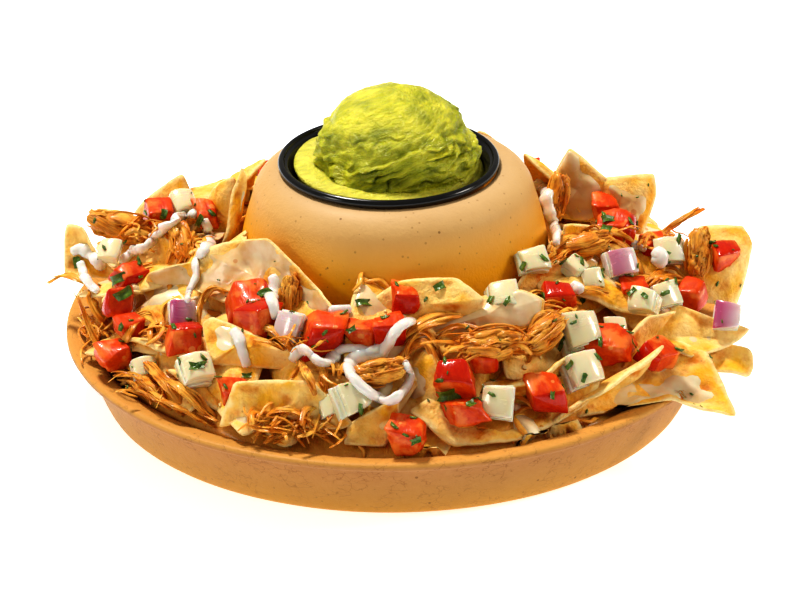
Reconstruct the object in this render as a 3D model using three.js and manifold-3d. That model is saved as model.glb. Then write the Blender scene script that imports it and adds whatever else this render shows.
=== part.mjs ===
// Loaded nachos on a sombrero-shaped platter, in millimetres with +Z up.
// The origin is on the table, under the middle of the platter. The front of the dish faces -Y.
//
// The platter is a moulded shell: a shallow ring-shaped tray round a hollow pedestal. A dip cup
// hangs by its rim in the round hole on top, filled with guacamole. The tray carries a heap of
// tortilla chips with pulled chicken, diced tomato, white and red onion, cream and herbs.
import * as THREE from "three";
import { mergeVertices } from "three/addons/utils/BufferGeometryUtils.js";
import Module from "manifold-3d";

const wasm = await Module();
wasm.setup();

// ---- Driving dimensions ----
const RIM_RADIUS = 140;
const RIM_HEIGHT = 31;
const BASE_RADIUS = 122;
const FLOOR_RADIUS = 118;
const WALL = 3;
const RIM_INNER_RADIUS = 128;
const TRAY_DEPTH = 5;
const PEDESTAL_FOOT_RADIUS = 74;
const PEDESTAL_TOP = 101;
const PEDESTAL_TOP_RADIUS = 46;
const PEDESTAL_BEND = [64.4, 72];
const SHOULDER_RADIUS = 13.5;
const HOLE_RADIUS = 43.3;
const PLATTER_SIDES = 40;

const CUP_OFFSET = -2;
const CUP_BEAD_RADIUS = 46.5;
const CUP_BEAD_TOP = 104.8;
const CUP_BOTTOM = 56;
const CUP_MOUTH_RADIUS = 41;
const CUP_FOOT_RADIUS = 35;
const CUP_WALL = 1.1;
const CUP_SIDES = 30;

const SCOOP_TOP = 136;
const SCOOP_RADIUS = 34.8;
const SCOOP_OFFSET = 4.2;
const PUDDLE_LEVEL = 101;

const CHIP_THICKNESS = 2;
const CHIP_BELLY = 0.12;
const CHIP_OUTLINE_POINTS = 7;
const CREAM_RADIUS = 2.6;
const GAP = 0.35;

// ---- Colours and finishes ----
const finish = (color, roughness) => new THREE.MeshStandardMaterial({ color, roughness, metalness: 0 });
const PLATTER_FINISH = finish(0xdfa65c, 0.55);
const CUP_FINISH = finish(0x0c0c0e, 0.25);
const GUACAMOLE_FINISH = finish(0xa9b52a, 0.45);
const CHIP_FINISH = finish(0xe2a847, 0.6);
const TOMATO_FINISH = finish(0xd2301a, 0.25);
const WHITE_ONION_FINISH = finish(0xdfe3c4, 0.3);
const RED_ONION_FINISH = finish(0xa04a80, 0.3);
const CHICKEN_FINISH = finish(0xb5652a, 0.5);

// ---- Small helpers ----

// A repeatable source of random numbers between 0 and 1.
function seeded(seed) {
  let state = seed;
  return () => {
    state = (state * 1664525 + 1013904223) % 4294967296;
    return state / 4294967296;
  };
}

const degrees = (angle) => (angle * Math.PI) / 180;

// Straight-line interpolation in a table of [position, value] rows.
function lookUp(table, at) {
  let previous = table[0];
  for (const row of table) {
    if (at <= row[0]) {
      const span = row[0] - previous[0];
      return span > 0 ? previous[1] + ((row[1] - previous[1]) * (at - previous[0])) / span : row[1];
    }
    previous = row;
  }
  return previous[1];
}

// A closed body from points and triangles.
function body(points, triangles) {
  const geometry = new THREE.BufferGeometry();
  geometry.setAttribute("position", new THREE.Float32BufferAttribute(points.flat(), 3));
  geometry.setIndex(triangles.flat());
  return geometry;
}

function toSolid(geometry) {
  const bare = geometry.clone();
  bare.deleteAttribute("normal");
  bare.deleteAttribute("uv");
  const merged = mergeVertices(bare, 1e-4);
  const vertProperties = new Float32Array(merged.attributes.position.array);
  const triVerts = new Uint32Array(merged.index.array);
  return new wasm.Manifold(new wasm.Mesh({ numProp: 3, vertProperties, triVerts }));
}

function toGeometry(solid) {
  const mesh = solid.getMesh();
  const geometry = new THREE.BufferGeometry();
  geometry.setAttribute("position", new THREE.BufferAttribute(new Float32Array(mesh.vertProperties), 3));
  geometry.setIndex(new THREE.BufferAttribute(new Uint32Array(mesh.triVerts), 1));
  return geometry;
}

// The largest of the separate bodies that a cut leaves; scraps and sealed hollows go.
function mainBody(solid) {
  const bodies = solid.decompose();
  return bodies.reduce((best, next) => (next.volume() > best.volume() ? next : best));
}

// A body of revolution about +Z from a closed profile of [radius, height] points.
function turned(profile, sides) {
  const points = profile.map(([radius, height]) => new THREE.Vector2(radius, height));
  if (profile[0][0] > 0) points.push(points[0].clone());
  const geometry = new THREE.LatheGeometry(points, sides);
  geometry.rotateX(Math.PI / 2);
  return geometry;
}

// Points on a round corner between two directions, for profiles.
function arc(centreRadius, centreHeight, radius, from, to, steps) {
  const points = [];
  for (let i = 0; i <= steps; i++) {
    const angle = degrees(from + ((to - from) * i) / steps);
    points.push([centreRadius + radius * Math.cos(angle), centreHeight + radius * Math.sin(angle)]);
  }
  return points;
}

// ---- Platter ----

// The upper face of the moulding, from the hole in the pedestal out to the rim.
function platterUpperFace(grow) {
  return [
    [HOLE_RADIUS - grow, PEDESTAL_TOP + grow],
    ...arc(PEDESTAL_TOP_RADIUS, PEDESTAL_TOP - SHOULDER_RADIUS, SHOULDER_RADIUS + grow, 90, 12, 3),
    [PEDESTAL_BEND[0] + grow, PEDESTAL_BEND[1]],
    [PEDESTAL_FOOT_RADIUS - 4.5 + grow, RIM_HEIGHT + 1 + grow],
    [PEDESTAL_FOOT_RADIUS + grow * 0.5, 2 * TRAY_DEPTH + grow],
    [PEDESTAL_FOOT_RADIUS + 8, TRAY_DEPTH + grow],
    [FLOOR_RADIUS - 8, TRAY_DEPTH + grow],
    [FLOOR_RADIUS + 2 - grow, TRAY_DEPTH + 3.5 + grow],
    [RIM_INNER_RADIUS - grow, RIM_HEIGHT - 3.5 + grow],
    [RIM_INNER_RADIUS + 2, RIM_HEIGHT - 1.4 + grow],
    [RIM_RADIUS - 3, RIM_HEIGHT - 0.6 + grow],
    [RIM_RADIUS - 1.4, RIM_HEIGHT + grow],
  ];
}

// The outer wall, from the rim down to the foot.
function platterOuterWall(grow) {
  return [
    [RIM_RADIUS + grow, RIM_HEIGHT - 0.7 + grow],
    [RIM_RADIUS + grow, RIM_HEIGHT - 2.6],
    [RIM_RADIUS - 4 + grow, RIM_HEIGHT - 4],
    [BASE_RADIUS + 11.4 + grow, RIM_HEIGHT - 6],
    [BASE_RADIUS + 3.6 + grow, TRAY_DEPTH - 1],
    [BASE_RADIUS, 0],
  ];
}

function platter() {
  const underside = [
    [PEDESTAL_FOOT_RADIUS + 6, 0],
    [PEDESTAL_FOOT_RADIUS - 2.5, TRAY_DEPTH],
    [PEDESTAL_FOOT_RADIUS - 4.5 - WALL, RIM_HEIGHT - 1],
    [PEDESTAL_BEND[0] - WALL, PEDESTAL_BEND[1]],
    ...arc(PEDESTAL_TOP_RADIUS, PEDESTAL_TOP - SHOULDER_RADIUS, SHOULDER_RADIUS - WALL, 12, 90, 2),
    [HOLE_RADIUS, PEDESTAL_TOP - WALL],
  ];
  const profile = [...platterUpperFace(0), ...platterOuterWall(0), ...underside];
  return turned(profile.reverse(), PLATTER_SIDES);
}

// Everything inside the platter's outer surface, a little grown: no food reaches into it.
function platterClearance() {
  const lid = [[0, PEDESTAL_TOP + GAP]];
  const underneath = [[BASE_RADIUS, -1], [0, -1]];
  const profile = [...lid, ...platterUpperFace(GAP), ...platterOuterWall(GAP), ...underneath];
  return toSolid(turned(profile.reverse(), PLATTER_SIDES));
}

// ---- Dip cup and guacamole ----

function cup() {
  const flange = PEDESTAL_TOP + 0.4;
  const profile = [
    [0, CUP_BOTTOM],
    [CUP_FOOT_RADIUS, CUP_BOTTOM],
    [CUP_MOUTH_RADIUS, flange],
    [CUP_BEAD_RADIUS - 0.9, flange],
    [CUP_BEAD_RADIUS, flange + 0.9],
    [CUP_BEAD_RADIUS, CUP_BEAD_TOP - 1],
    [CUP_BEAD_RADIUS - 1, CUP_BEAD_TOP],
    [CUP_BEAD_RADIUS - 2.4, CUP_BEAD_TOP],
    [CUP_BEAD_RADIUS - 3.4, CUP_BEAD_TOP - 1.4],
    [CUP_MOUTH_RADIUS - CUP_WALL, flange - 1],
    [CUP_FOOT_RADIUS - CUP_WALL, CUP_BOTTOM + CUP_WALL],
    [0, CUP_BOTTOM + CUP_WALL],
  ];
  return turned(profile, CUP_SIDES);
}

// Radius of the cup's inner wall at a height.
function cupInnerRadius(height) {
  const share = (height - CUP_BOTTOM) / (PEDESTAL_TOP - CUP_BOTTOM);
  return CUP_FOOT_RADIUS - CUP_WALL + (CUP_MOUTH_RADIUS - CUP_FOOT_RADIUS) * Math.min(1, share);
}

// The guacamole fills the cup up to a smeared puddle, and a leaning scoop stands on it.
function guacamole() {
  const around = 26;
  const scoopRings = 7;
  const rings = [];
  const inCup = (radius, height) => (angle) => [radius * Math.cos(angle), radius * Math.sin(angle), height];
  const bottom = CUP_BOTTOM + CUP_WALL + GAP;
  const mouth = cupInnerRadius(PUDDLE_LEVEL - 4) - GAP - 0.3;
  rings.push(inCup(cupInnerRadius(bottom) - GAP - 0.3, bottom));
  const puddle = (angle, shift) => PUDDLE_LEVEL - 2.2 * Math.cos(angle) + 0.7 * Math.sin(3 * angle + shift);
  rings.push((angle) => inCup(mouth, puddle(angle, 0) - 1.5)(angle));
  rings.push((angle) => inCup(mouth - 2, puddle(angle, 1))(angle));
  for (let i = 0; i <= scoopRings; i++) {
    const rise = Math.sin(degrees((90 * i) / scoopRings));
    const height = PUDDLE_LEVEL + 1 + (SCOOP_TOP - PUDDLE_LEVEL - 1) * rise;
    rings.push((angle) => scoopPoint(angle, rise, height));
  }
  const points = [[0, 0, bottom]];
  const triangles = [];
  for (const ring of rings) {
    for (let j = 0; j < around; j++) points.push(ring((2 * Math.PI * j) / around));
  }
  points.push([SCOOP_OFFSET - 2, 0, SCOOP_TOP]);
  const last = points.length - 1;
  const at = (i, j) => 1 + i * around + (j % around);
  for (let j = 0; j < around; j++) {
    triangles.push([0, at(0, j + 1), at(0, j)]);
    triangles.push([last, at(rings.length - 1, j), at(rings.length - 1, j + 1)]);
    for (let i = 0; i < rings.length - 1; i++) {
      triangles.push([at(i, j), at(i, j + 1), at(i + 1, j)]);
      triangles.push([at(i, j + 1), at(i + 1, j + 1), at(i + 1, j)]);
    }
  }
  return body(points, triangles);
}

// One point of the scoop's surface: a blunt dome with smeared, slanting folds.
function scoopPoint(angle, rise, height) {
  const round = Math.pow(1 - Math.pow(Math.min(rise, 0.985), 2.3), 0.5);
  const smear = 0.03 * Math.sin(2 * angle + 9 * rise) * (1 - rise);
  const fold = 1 + smear + 0.02 * Math.sin(5 * angle - 7 * rise);
  const lean = SCOOP_OFFSET - 2 * rise;
  const radius = SCOOP_RADIUS * round * fold;
  return [lean + radius * Math.cos(angle), radius * Math.sin(angle), height];
}

// ---- The heap ----

// Height of the bare core over the tray: high against the pedestal, falling to the rim,
// and fuller at the sides and the back than at the front.
const CORE_SLOPE = [
  [60, 73], [66, 70], [75, 65], [85, 60], [95, 56], [105, 50], [115, 42], [123, 34], [128, 29],
];
const SIDE_FULLNESS = [
  [0, 16], [25, 16], [60, 2], [120, 2], [145, 14], [185, 14], [208, 0], [322, 0], [345, 11], [360, 16],
];
const FULLNESS_REACH = [[60, 0.1], [80, 0.25], [100, 0.6], [118, 1], [130, 0.8]];

function coreHeight(radius, angle) {
  const turn = ((angle * 180) / Math.PI + 360) % 360;
  const lumps = 1.6 * Math.sin(5 * angle + radius / 9) + 1.2 * Math.sin(11 * angle - radius / 7);
  const fullness = lookUp(SIDE_FULLNESS, turn) * lookUp(FULLNESS_REACH, radius);
  return lookUp(CORE_SLOPE, radius) + fullness + lumps;
}

const CORE_SIDES = 36;
const CORE_RADIUS = 127;
const CORE_EDGE = 28.5;
// Radius and height: the underside from the pedestal's foot out, where its top is measured, and
// the place where it meets the pedestal.
const CORE_UNDERSIDE = [[76, 12], [84, TRAY_DEPTH + GAP + 0.5], [117.5, 9], [126, 26]];
const CORE_STATIONS = [121, 111, 100, 88, 76];
const CORE_AT_PEDESTAL = [70.8, 32];

function heapCore() {
  const profile = [];
  const fixed = (radius, height) => profile.push(() => [radius, height]);
  for (const [radius, height] of CORE_UNDERSIDE) fixed(radius, height);
  profile.push((angle) => [CORE_RADIUS, CORE_EDGE + 0.5 * Math.max(0, coreHeight(CORE_RADIUS, angle) - 30)]);
  for (const radius of CORE_STATIONS) profile.push((angle) => [radius, coreHeight(radius, angle)]);
  profile.push((angle) => [PEDESTAL_FOOT_RADIUS - 6, coreHeight(PEDESTAL_FOOT_RADIUS - 4, angle)]);
  fixed(...CORE_AT_PEDESTAL);
  const points = [];
  const triangles = [];
  for (let j = 0; j < CORE_SIDES; j++) {
    const angle = (2 * Math.PI * j) / CORE_SIDES;
    for (const station of profile) {
      const [radius, height] = station(angle);
      points.push([radius * Math.cos(angle), radius * Math.sin(angle), height]);
    }
  }
  const count = profile.length;
  const at = (j, i) => (j % CORE_SIDES) * count + (i % count);
  for (let j = 0; j < CORE_SIDES; j++) {
    for (let i = 0; i < count; i++) {
      triangles.push([at(j, i), at(j + 1, i), at(j, i + 1)]);
      triangles.push([at(j + 1, i), at(j + 1, i + 1), at(j, i + 1)]);
    }
  }
  return body(points, triangles);
}

// A chip is a thin, bowed sheet through its corners, with softly rounded sides.
function chip(corners, bow, seed) {
  const random = seeded(seed);
  const perSide = Math.max(1, Math.round(CHIP_OUTLINE_POINTS / corners.length));
  const tips = corners.map((corner) => new THREE.Vector3(...corner));
  const centre = tips.reduce((sum, tip) => sum.add(tip), new THREE.Vector3()).divideScalar(tips.length);
  const normal = new THREE.Vector3();
  tips.forEach((tip, i) => normal.add(new THREE.Vector3().crossVectors(tip, tips[(i + 1) % tips.length])));
  normal.normalize();
  const outline = [];
  tips.forEach((tip, i) => {
    for (let k = 0; k < perSide; k++) {
      const t = k / perSide;
      const point = tip.clone().lerp(tips[(i + 1) % tips.length], t).sub(centre);
      outline.push(point.multiplyScalar(1 + CHIP_BELLY * Math.sin(Math.PI * t)));
    }
  });
  const phase = 2 * Math.PI * random();
  const points = [];
  const count = outline.length;
  for (const face of [0.5, -0.5]) {
    points.push(centre.clone().addScaledVector(normal, bow + face * CHIP_THICKNESS).toArray());
    outline.forEach((point, i) => {
      const wave = 0.8 * Math.sin((4 * Math.PI * i) / count + phase);
      points.push(centre.clone().add(point).addScaledVector(normal, wave + face * CHIP_THICKNESS).toArray());
    });
  }
  const triangles = [];
  const under = count + 1;
  for (let i = 0; i < count; i++) {
    const a = 1 + i;
    const b = 1 + ((i + 1) % count);
    triangles.push([0, a, b], [under, b + under, a + under]);
    triangles.push([a, a + under, b], [b, a + under, b + under]);
  }
  return body(points, triangles);
}

// A diced piece: a skewed, tapered block, no two alike.
// place is [x, y, z, size, turn, tip]; shares are the block's proportions.
function dice(place, shares, seed, grow = 0) {
  const [x, y, z, size, turn, tip] = place;
  const random = seeded(seed);
  const half = shares.map((share) => (size * share * (0.92 + 0.16 * random())) / 2 + grow);
  const skew = 0.3 * (random() - 0.5);
  const taper = 0.3 * (random() - 0.5);
  const geometry = new THREE.BoxGeometry(2, 2, 2);
  const position = geometry.attributes.position;
  for (let i = 0; i < position.count; i++) {
    const corner = new THREE.Vector3().fromBufferAttribute(position, i);
    position.setXYZ(i, corner.x + skew * corner.z, corner.y * (1 + taper * corner.x), corner.z);
  }
  geometry.scale(...half);
  geometry.rotateX(degrees(tip));
  geometry.rotateZ(degrees(turn));
  geometry.translate(x, y, z);
  return geometry;
}

// A lump of pulled chicken: a torn, tapering bundle, thickest before its middle.
function lump(place, shares, seed, grow = 0) {
  const [x, y, z, size, turn, tip] = place;
  const random = seeded(seed);
  const bend = 0.5 * (random() - 0.5);
  const phase = 2 * Math.PI * random();
  const girth = [[0, -1], [0.7, -0.75], [1, -0.1], [0.72, 0.62], [0, 1]];
  const geometry = turned(girth, 7);
  const position = geometry.attributes.position;
  for (let i = 0; i < position.count; i++) {
    const point = new THREE.Vector3().fromBufferAttribute(position, i);
    const groove = 1 + 0.14 * Math.sin(3 * Math.atan2(point.y, point.x) + 2 * point.z + phase);
    position.setXYZ(i, point.x * groove + bend * point.z * point.z, point.y * groove, point.z);
  }
  const [length, width, height] = shares.map((share) => (size * share) / 2 + grow);
  geometry.scale(height, width, length);
  geometry.rotateY(degrees(90 - tip));
  geometry.rotateZ(degrees(turn));
  geometry.translate(x, y, z);
  return geometry;
}

// A strand along a curve: flat for shreds of meat, round for poured cream.
function strand(places, halfWidth, halfHeight, sides, steps) {
  const curve = new THREE.CatmullRomCurve3(places.map((place) => new THREE.Vector3(...place)));
  const section = new THREE.Shape();
  for (let i = 0; i < sides; i++) {
    const angle = (2 * Math.PI * (i + 0.5)) / sides;
    const point = [halfHeight * Math.cos(angle), halfWidth * Math.sin(angle)];
    if (i === 0) section.moveTo(...point);
    else section.lineTo(...point);
  }
  section.closePath();
  return new THREE.ExtrudeGeometry(section, { steps, bevelEnabled: false, extrudePath: curve });
}

// ---- Where things lie ----
// Chips are given by their corners; bow is how far the middle stands out of their plane.
const CHIPS = [
  { bow: 3, corners: [[-91, 42, 80], [-113, 50, 58], [-97, 44, 52], [-84, 44, 56]] },
  { bow: 2, corners: [[-67, 19, 88], [-77, 29, 78], [-78, 24, 62], [-69, 16, 66]] },
  { bow: -2, corners: [[-64, 14, 94], [-63, 12, 88], [-67, 14, 62], [-74, 6, 62]] },
  { bow: 2, corners: [[-140, 16, 68], [-132, 13, 68], [-126, 4, 58], [-117, 6, 48], [-140, 7, 50]] },
  { bow: 3, corners: [[-110, 7, 62], [-96, 1, 68], [-92, -10, 62], [-105, -16, 54]] },
  { bow: 3, corners: [[-106, -20, 54], [-101, -21, 62], [-84, -27, 70], [-78, -36, 56], [-99, -32, 47]] },
  {
    bow: 4,
    corners: [
      [-80, -29, 76], [-66, -30, 80], [-51, -44, 87], [-24, -78, 70], [-52, -62, 60], [-85, -36, 62],
    ],
  },
  {
    bow: -2,
    corners: [[-9, -71, 72], [3, -68, 79], [25, -68, 80], [36, -77, 74], [31, -74, 60], [0, -75, 60]],
  },
  {
    bow: -4,
    corners: [[3, -79, 58], [34, -66, 70], [51, -68, 74], [61, -69, 70], [58, -73, 60], [22, -77, 56]],
  },
  {
    bow: -3,
    corners: [
      [-79, -67, 60], [-74, -67, 63], [-63, -77, 62], [-41, -90, 58],
      [-40, -90, 50], [-72, -80, 48], [-75, -82, 50],
    ],
  },
  {
    bow: -3,
    corners: [
      [-72, -110, 34], [-64, -103, 52], [-34, -110, 54],
      [-18, -116, 38], [-24, -116, 36], [-57, -108, 36],
    ],
  },
  { bow: 2, corners: [[-19, -116, 38], [1, -118, 51], [0, -116, 40], [-5, -124, 32], [-21, -122, 32]] },
  { bow: 2, corners: [[-114, -51, 43], [-86, -69, 49], [-78, -75, 46], [-92, -54, 44]] },
  { bow: 2, corners: [[-94, -78, 44], [-78, -93, 38], [-70, -95, 33], [-78, -80, 38]] },
  { bow: 1, corners: [[-134, -2, 46], [-126, -8, 44], [-127, -22, 33], [-118, -18, 38]] },
  { bow: -2, corners: [[3, -85, 56], [16, -92, 58], [23, -106, 44], [13, -108, 36], [2, -98, 40]] },
  {
    bow: -5,
    corners: [
      [6, -114, 42], [23, -123, 31], [50, -117, 31], [77, -96, 35],
      [83, -89, 44], [50, -92, 46], [18, -100, 44],
    ],
  },
  {
    bow: 2,
    corners: [[60, -107, 30], [85, -97, 42], [109, -80, 55], [104, -76, 42], [84, -86, 30], [66, -98, 24]],
  },
  { bow: -2, corners: [[42, -105, 46], [56, -99, 50], [73, -87, 53], [66, -84, 44], [50, -96, 42]] },
  {
    bow: 3,
    corners: [[73, -98, 31], [90, -66, 44], [110, -50, 44], [129, -62, 42], [139, -90, 25], [113, -85, 32]],
  },
  { bow: 1, corners: [[108, -46, 42], [147, -47, 36], [146, -59, 30], [112, -58, 36]] },
  { bow: 3, corners: [[118, -41, 54], [147, -45, 44], [143, -47, 41], [122, -64, 41], [104, -52, 42]] },
  { bow: 2, corners: [[93, -76, 50], [105, -62, 58], [116, -56, 58], [108, -58, 44], [96, -66, 42]] },
  { bow: -3, corners: [[129, -2, 72], [147, 1, 70], [151, -4, 64], [144, -18, 42], [116, -14, 46]] },
  { bow: 2, corners: [[76, 37, 92], [69, 39, 78], [72, 30, 62], [90, 28, 62], [91, 30, 80]] },
  { bow: -3, corners: [[87, 30, 80], [111, 35, 80], [112, 30, 72], [106, 22, 58], [90, 26, 60]] },
  { bow: 1, corners: [[50, -49, 64], [57, -43, 74], [74, -38, 72], [66, -38, 60]] },
  { bow: 1, corners: [[72, -9, 76], [87, -3, 72], [82, -8, 62], [72, -8, 64]] },
];

// Diced toppings that stand as pieces of their own: [x, y, z, size, turn, tip].
const TOMATO = [
  [-101, 30, 67, 13, 12, 8], [-112, -17, 60, 12, 40, 20], [-116, -29, 53, 13, 15, -25],
  [-88, -66, 53, 14, 10, -14], [-61, -59, 67, 16, 8, 18], [-56, -72, 63, 15, 35, -10],
  [-30, -84, 64, 17, 4, 12], [-14, -86, 64, 12, -8, 6], [-2, -86, 65, 13, 12, 14],
  [-117, -53, 40, 13, 30, 10], [24, -107, 53, 15, -6, 24], [28, -115, 42, 14, 20, -12],
  [4, -126, 38, 14, -12, 10], [61, -101, 44, 14, 14, 16], [87, -72, 51, 18, -20, 8],
  [139, -9, 62, 12, 20, 12], [94, 2, 70, 15, -14, 14], [67, -56, 65, 13, 8, 10],
  [125, -30, 53, 12, -30, 12], [108, -73, 46, 14, 48, 30],
];
const WHITE_ONION = [
  [-91, 34, 70, 12, 25, 30], [-121, 4, 61, 11, -10, 30], [-82, -85, 48, 15, 20, 34],
  [-18, -115, 49, 14, 35, 50], [41, -110, 44, 15, -12, 60], [76, -90, 48, 15, 30, 48],
  [75, -73, 58, 16, 25, 52], [57, -42, 75, 13, 20, 40], [116, -10, 64, 14, 10, 44],
  [103, -48, 59, 12, -20, 40], [113, -38, 57, 13, 30, 50],
];
const RED_ONION = [
  [-88, -53, 59, 13, 5, 60], [-43, -80, 65, 14, -35, 62],
  [94, -30, 68, 14, 20, 50], [138, -43, 49, 13, -15, 50],
];
// Chicken lumps: turn is the way the grain runs, tip how steeply it rises.
const CHICKEN = [
  [-117, 24, 63, 25, 175, 12], [-90, -4, 69, 18, 100, 30], [-43, -62, 71, 15, 80, 70],
  [-6, -106, 56, 20, 10, 8], [39, -92, 61, 25, 8, 10], [61, -80, 60, 20, 35, 25],
  [70, 20, 77, 18, 70, 60], [128, -11, 64, 19, 80, 60], [79, -20, 72, 22, 5, 12],
];

// Smaller dice, too small to stand alone, are part of the heap.
const SMALL_TOMATO = [
  [-80, 19, 71, 10, 10, 20], [4, -71, 73, 11, 5, 10], [-66, -100, 46, 11, 10, 30],
  [-111, -43, 48, 11, 30, 0], [36, -97, 55, 10, 15, 10], [90, 22, 70, 11, 0, 10],
  [109, 2, 62, 10, 20, 10], [99, -37, 60, 10, 10, 20],
];
const SMALL_ONION = [
  [-104, -64, 39, 10, 20, 40], [-27, -112, 44, 10, 20, 40], [44, -67, 71, 14, 5, 30],
  [75, -37, 70, 10, 60, 30], [91, -58, 52, 10, 10, 40], [82, -40, 66, 10, 20, 50],
];

// Shreds of meat by the points they pass through.
const SHREDS = [
  [[-147, -1, 49], [-141, 0, 52], [-134, -6, 53], [-116, -12, 47]],
  [[102, 5, 56], [121, 10, 69], [132, 16, 72]],
  [[1, -93, 55], [12, -91, 62], [20, -103, 48]],
  [[-58, -116, 32], [-52, -110, 37], [-49, -106, 44]],
  [[-55, -108, 38], [-43, -110, 42], [-31, -113, 39], [-24, -118, 34]],
  [[-56, -114, 34], [-43, -113, 38], [-23, -118, 34]],
  [[3, -88, 60], [14, -85, 68], [27, -84, 70]],
  [[-117, -58, 33], [-105, -67, 37], [-90, -79, 37]],
  [[-113, -66, 31], [-100, -78, 33], [-85, -90, 33]],
  [[-100, -76, 33], [-88, -88, 34], [-73, -102, 33]],
  [[-62, -75, 61], [-51, -79, 64], [-41, -92, 58]],
  [[101, -22, 57], [112, -27, 60], [122, -22, 54]],
];

// Poured cream by the points it passes through.
const CREAM = [
  [[-41, -92, 57], [-32, -95, 58], [-22, -93, 60], [-7, -94, 59], [-1, -89, 61], [6, -82, 62]],
  [[-8, -94, 59], [-18, -99, 56], [-17, -106, 50], [-7, -112, 47], [4, -108, 50], [5, -100, 56]],
  [[-131, 3, 58], [-124, 0, 55], [-118, -10, 51]],
  [[-112, -4, 63], [-103, -1, 67], [-95, 10, 70], [-86, 17, 71]],
  [[-79, 8, 73], [-77, -10, 73], [-82, -22, 69], [-83, -34, 67], [-86, -46, 62]],
  [[-67, -75, 61], [-64, -79, 60], [-60, -93, 52]],
];

// ---- The far side of the dish, filled by the same rule all round ----

// Chips behind the pedestal lean in rows against it and on each other.
function farChips() {
  const random = seeded(2203);
  const chips = [];
  const rows = [{ radius: 84, lean: 56, count: 6 }, { radius: 107, lean: 30, count: 8 }];
  for (const { radius, lean, count } of rows) {
    for (let k = 0; k < count; k++) {
      const angle = degrees(24 + (130 * (k + 0.5)) / count + 6 * (random() - 0.5));
      const slope = degrees(lean + 14 * (random() - 0.5));
      const spin = 2 * Math.PI * random();
      const side = 27 + 6 * random();
      const height = coreHeight(radius, angle) + 1.5;
      const across = [-Math.sin(angle), Math.cos(angle), 0];
      const up = [-Math.cos(angle) * Math.cos(slope), -Math.sin(angle) * Math.cos(slope), Math.sin(slope)];
      const middle = [radius * Math.cos(angle), radius * Math.sin(angle), height];
      const corners = [0, 1, 2].map((n) => {
        const turn = spin + (2 * Math.PI * n) / 3;
        const shift = (axis) => side * (across[axis] * Math.cos(turn) + up[axis] * Math.sin(turn));
        return middle.map((value, axis) => value + shift(axis));
      });
      chips.push({ bow: 4, corners });
    }
  }
  return chips;
}

// Toppings behind the pedestal lie on the core at even steps.
function farPlaces(count, from, to, radius, size, seed) {
  const random = seeded(seed);
  const places = [];
  for (let k = 0; k < count; k++) {
    const turn = from + ((to - from) * (k + 0.5)) / count + 5 * (random() - 0.5);
    const out = radius + 9 * (random() - 0.5);
    const angle = degrees(turn);
    const height = coreHeight(out, angle) + 0.3 * size;
    places.push([out * Math.cos(angle), out * Math.sin(angle), height, size, 360 * random(), 30 * random()]);
  }
  return places;
}

// ---- Assembly ----

// Every kind of topping: where its pieces lie, how one is made, its proportions and its finish.
const KINDS = {
  tomato: {
    places: [...TOMATO, ...farPlaces(5, 50, 128, 97, 14, 7)],
    make: dice,
    shares: [1.05, 0.9, 0.8],
    finish: TOMATO_FINISH,
  },
  white_onion: {
    places: [...WHITE_ONION, ...farPlaces(3, 60, 125, 112, 14, 8)],
    make: dice,
    shares: [1, 0.9, 0.55],
    finish: WHITE_ONION_FINISH,
  },
  red_onion: {
    places: [...RED_ONION, ...farPlaces(1, 80, 100, 84, 13, 9)],
    make: dice,
    shares: [1, 0.9, 0.55],
    finish: RED_ONION_FINISH,
  },
  chicken: {
    places: [...CHICKEN, ...farPlaces(3, 55, 120, 86, 22, 10)],
    make: lump,
    shares: [1, 0.6, 0.55],
    finish: CHICKEN_FINISH,
  },
};

const group = new THREE.Group();

function add(name, geometry, material) {
  const mesh = new THREE.Mesh(geometry, material);
  mesh.name = name;
  group.add(mesh);
  return mesh;
}

add("platter", platter(), PLATTER_FINISH);
add("cup", cup(), CUP_FINISH).position.x = CUP_OFFSET;
add("guacamole", guacamole(), GUACAMOLE_FINISH).position.x = CUP_OFFSET;

const clearance = platterClearance();
const toppings = [];
for (const [kind, { places, make, shares, finish: material }] of Object.entries(KINDS)) {
  places.forEach((place, index) => {
    const seed = index + 1;
    let solid = toSolid(make(place, shares, seed)).subtract(clearance);
    for (const earlier of toppings) solid = solid.subtract(earlier);
    toppings.push(toSolid(make(place, shares, seed, GAP)));
    add(`${kind}_${String(seed).padStart(2, "0")}`, toGeometry(mainBody(solid)), material);
  });
}

// Chips, small dice, shreds and cream are joined to the core, clear of the dish and the toppings.
const loose = [
  ...[...CHIPS, ...farChips()].map(({ corners, bow }, index) => chip(corners, bow, index + 1)),
  ...SMALL_TOMATO.map((place, index) => dice(place, KINDS.tomato.shares, index + 40)),
  ...SMALL_ONION.map((place, index) => dice(place, KINDS.white_onion.shares, index + 60)),
  ...SHREDS.map((places) => strand(places, 2, 1.2, 4, 4)),
  ...CREAM.map((places) => strand(places, CREAM_RADIUS, CREAM_RADIUS, 5, Math.round(1.5 * places.length))),
];
let heap = toSolid(heapCore());
for (const piece of loose) heap = heap.add(toSolid(piece));
heap = heap.subtract(clearance);
for (const topping of toppings) heap = heap.subtract(topping);
add("nacho_heap", toGeometry(mainBody(heap)), CHIP_FINISH);

export default group;
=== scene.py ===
# %% [markdown]
# # Loaded nachos round a dip cup
#
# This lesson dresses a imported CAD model. The dish is a moulded fibre platter: a shallow ring
# of a tray round a hollow pedestal, with a black dip cup of guacamole hanging in the top. The
# tray is heaped with tortilla chips, pulled chicken, diced tomato, white and red onion, two
# sauces and herbs. The CAD solids are plain and hold the sizes. Every visible thing is made
# again here, finer, in the place where its solid is.

# %% Load the frame
import math

import bpy
import numpy as np
from mathutils import Matrix, Vector, noise
from mathutils.bvhtree import BVHTree


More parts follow.
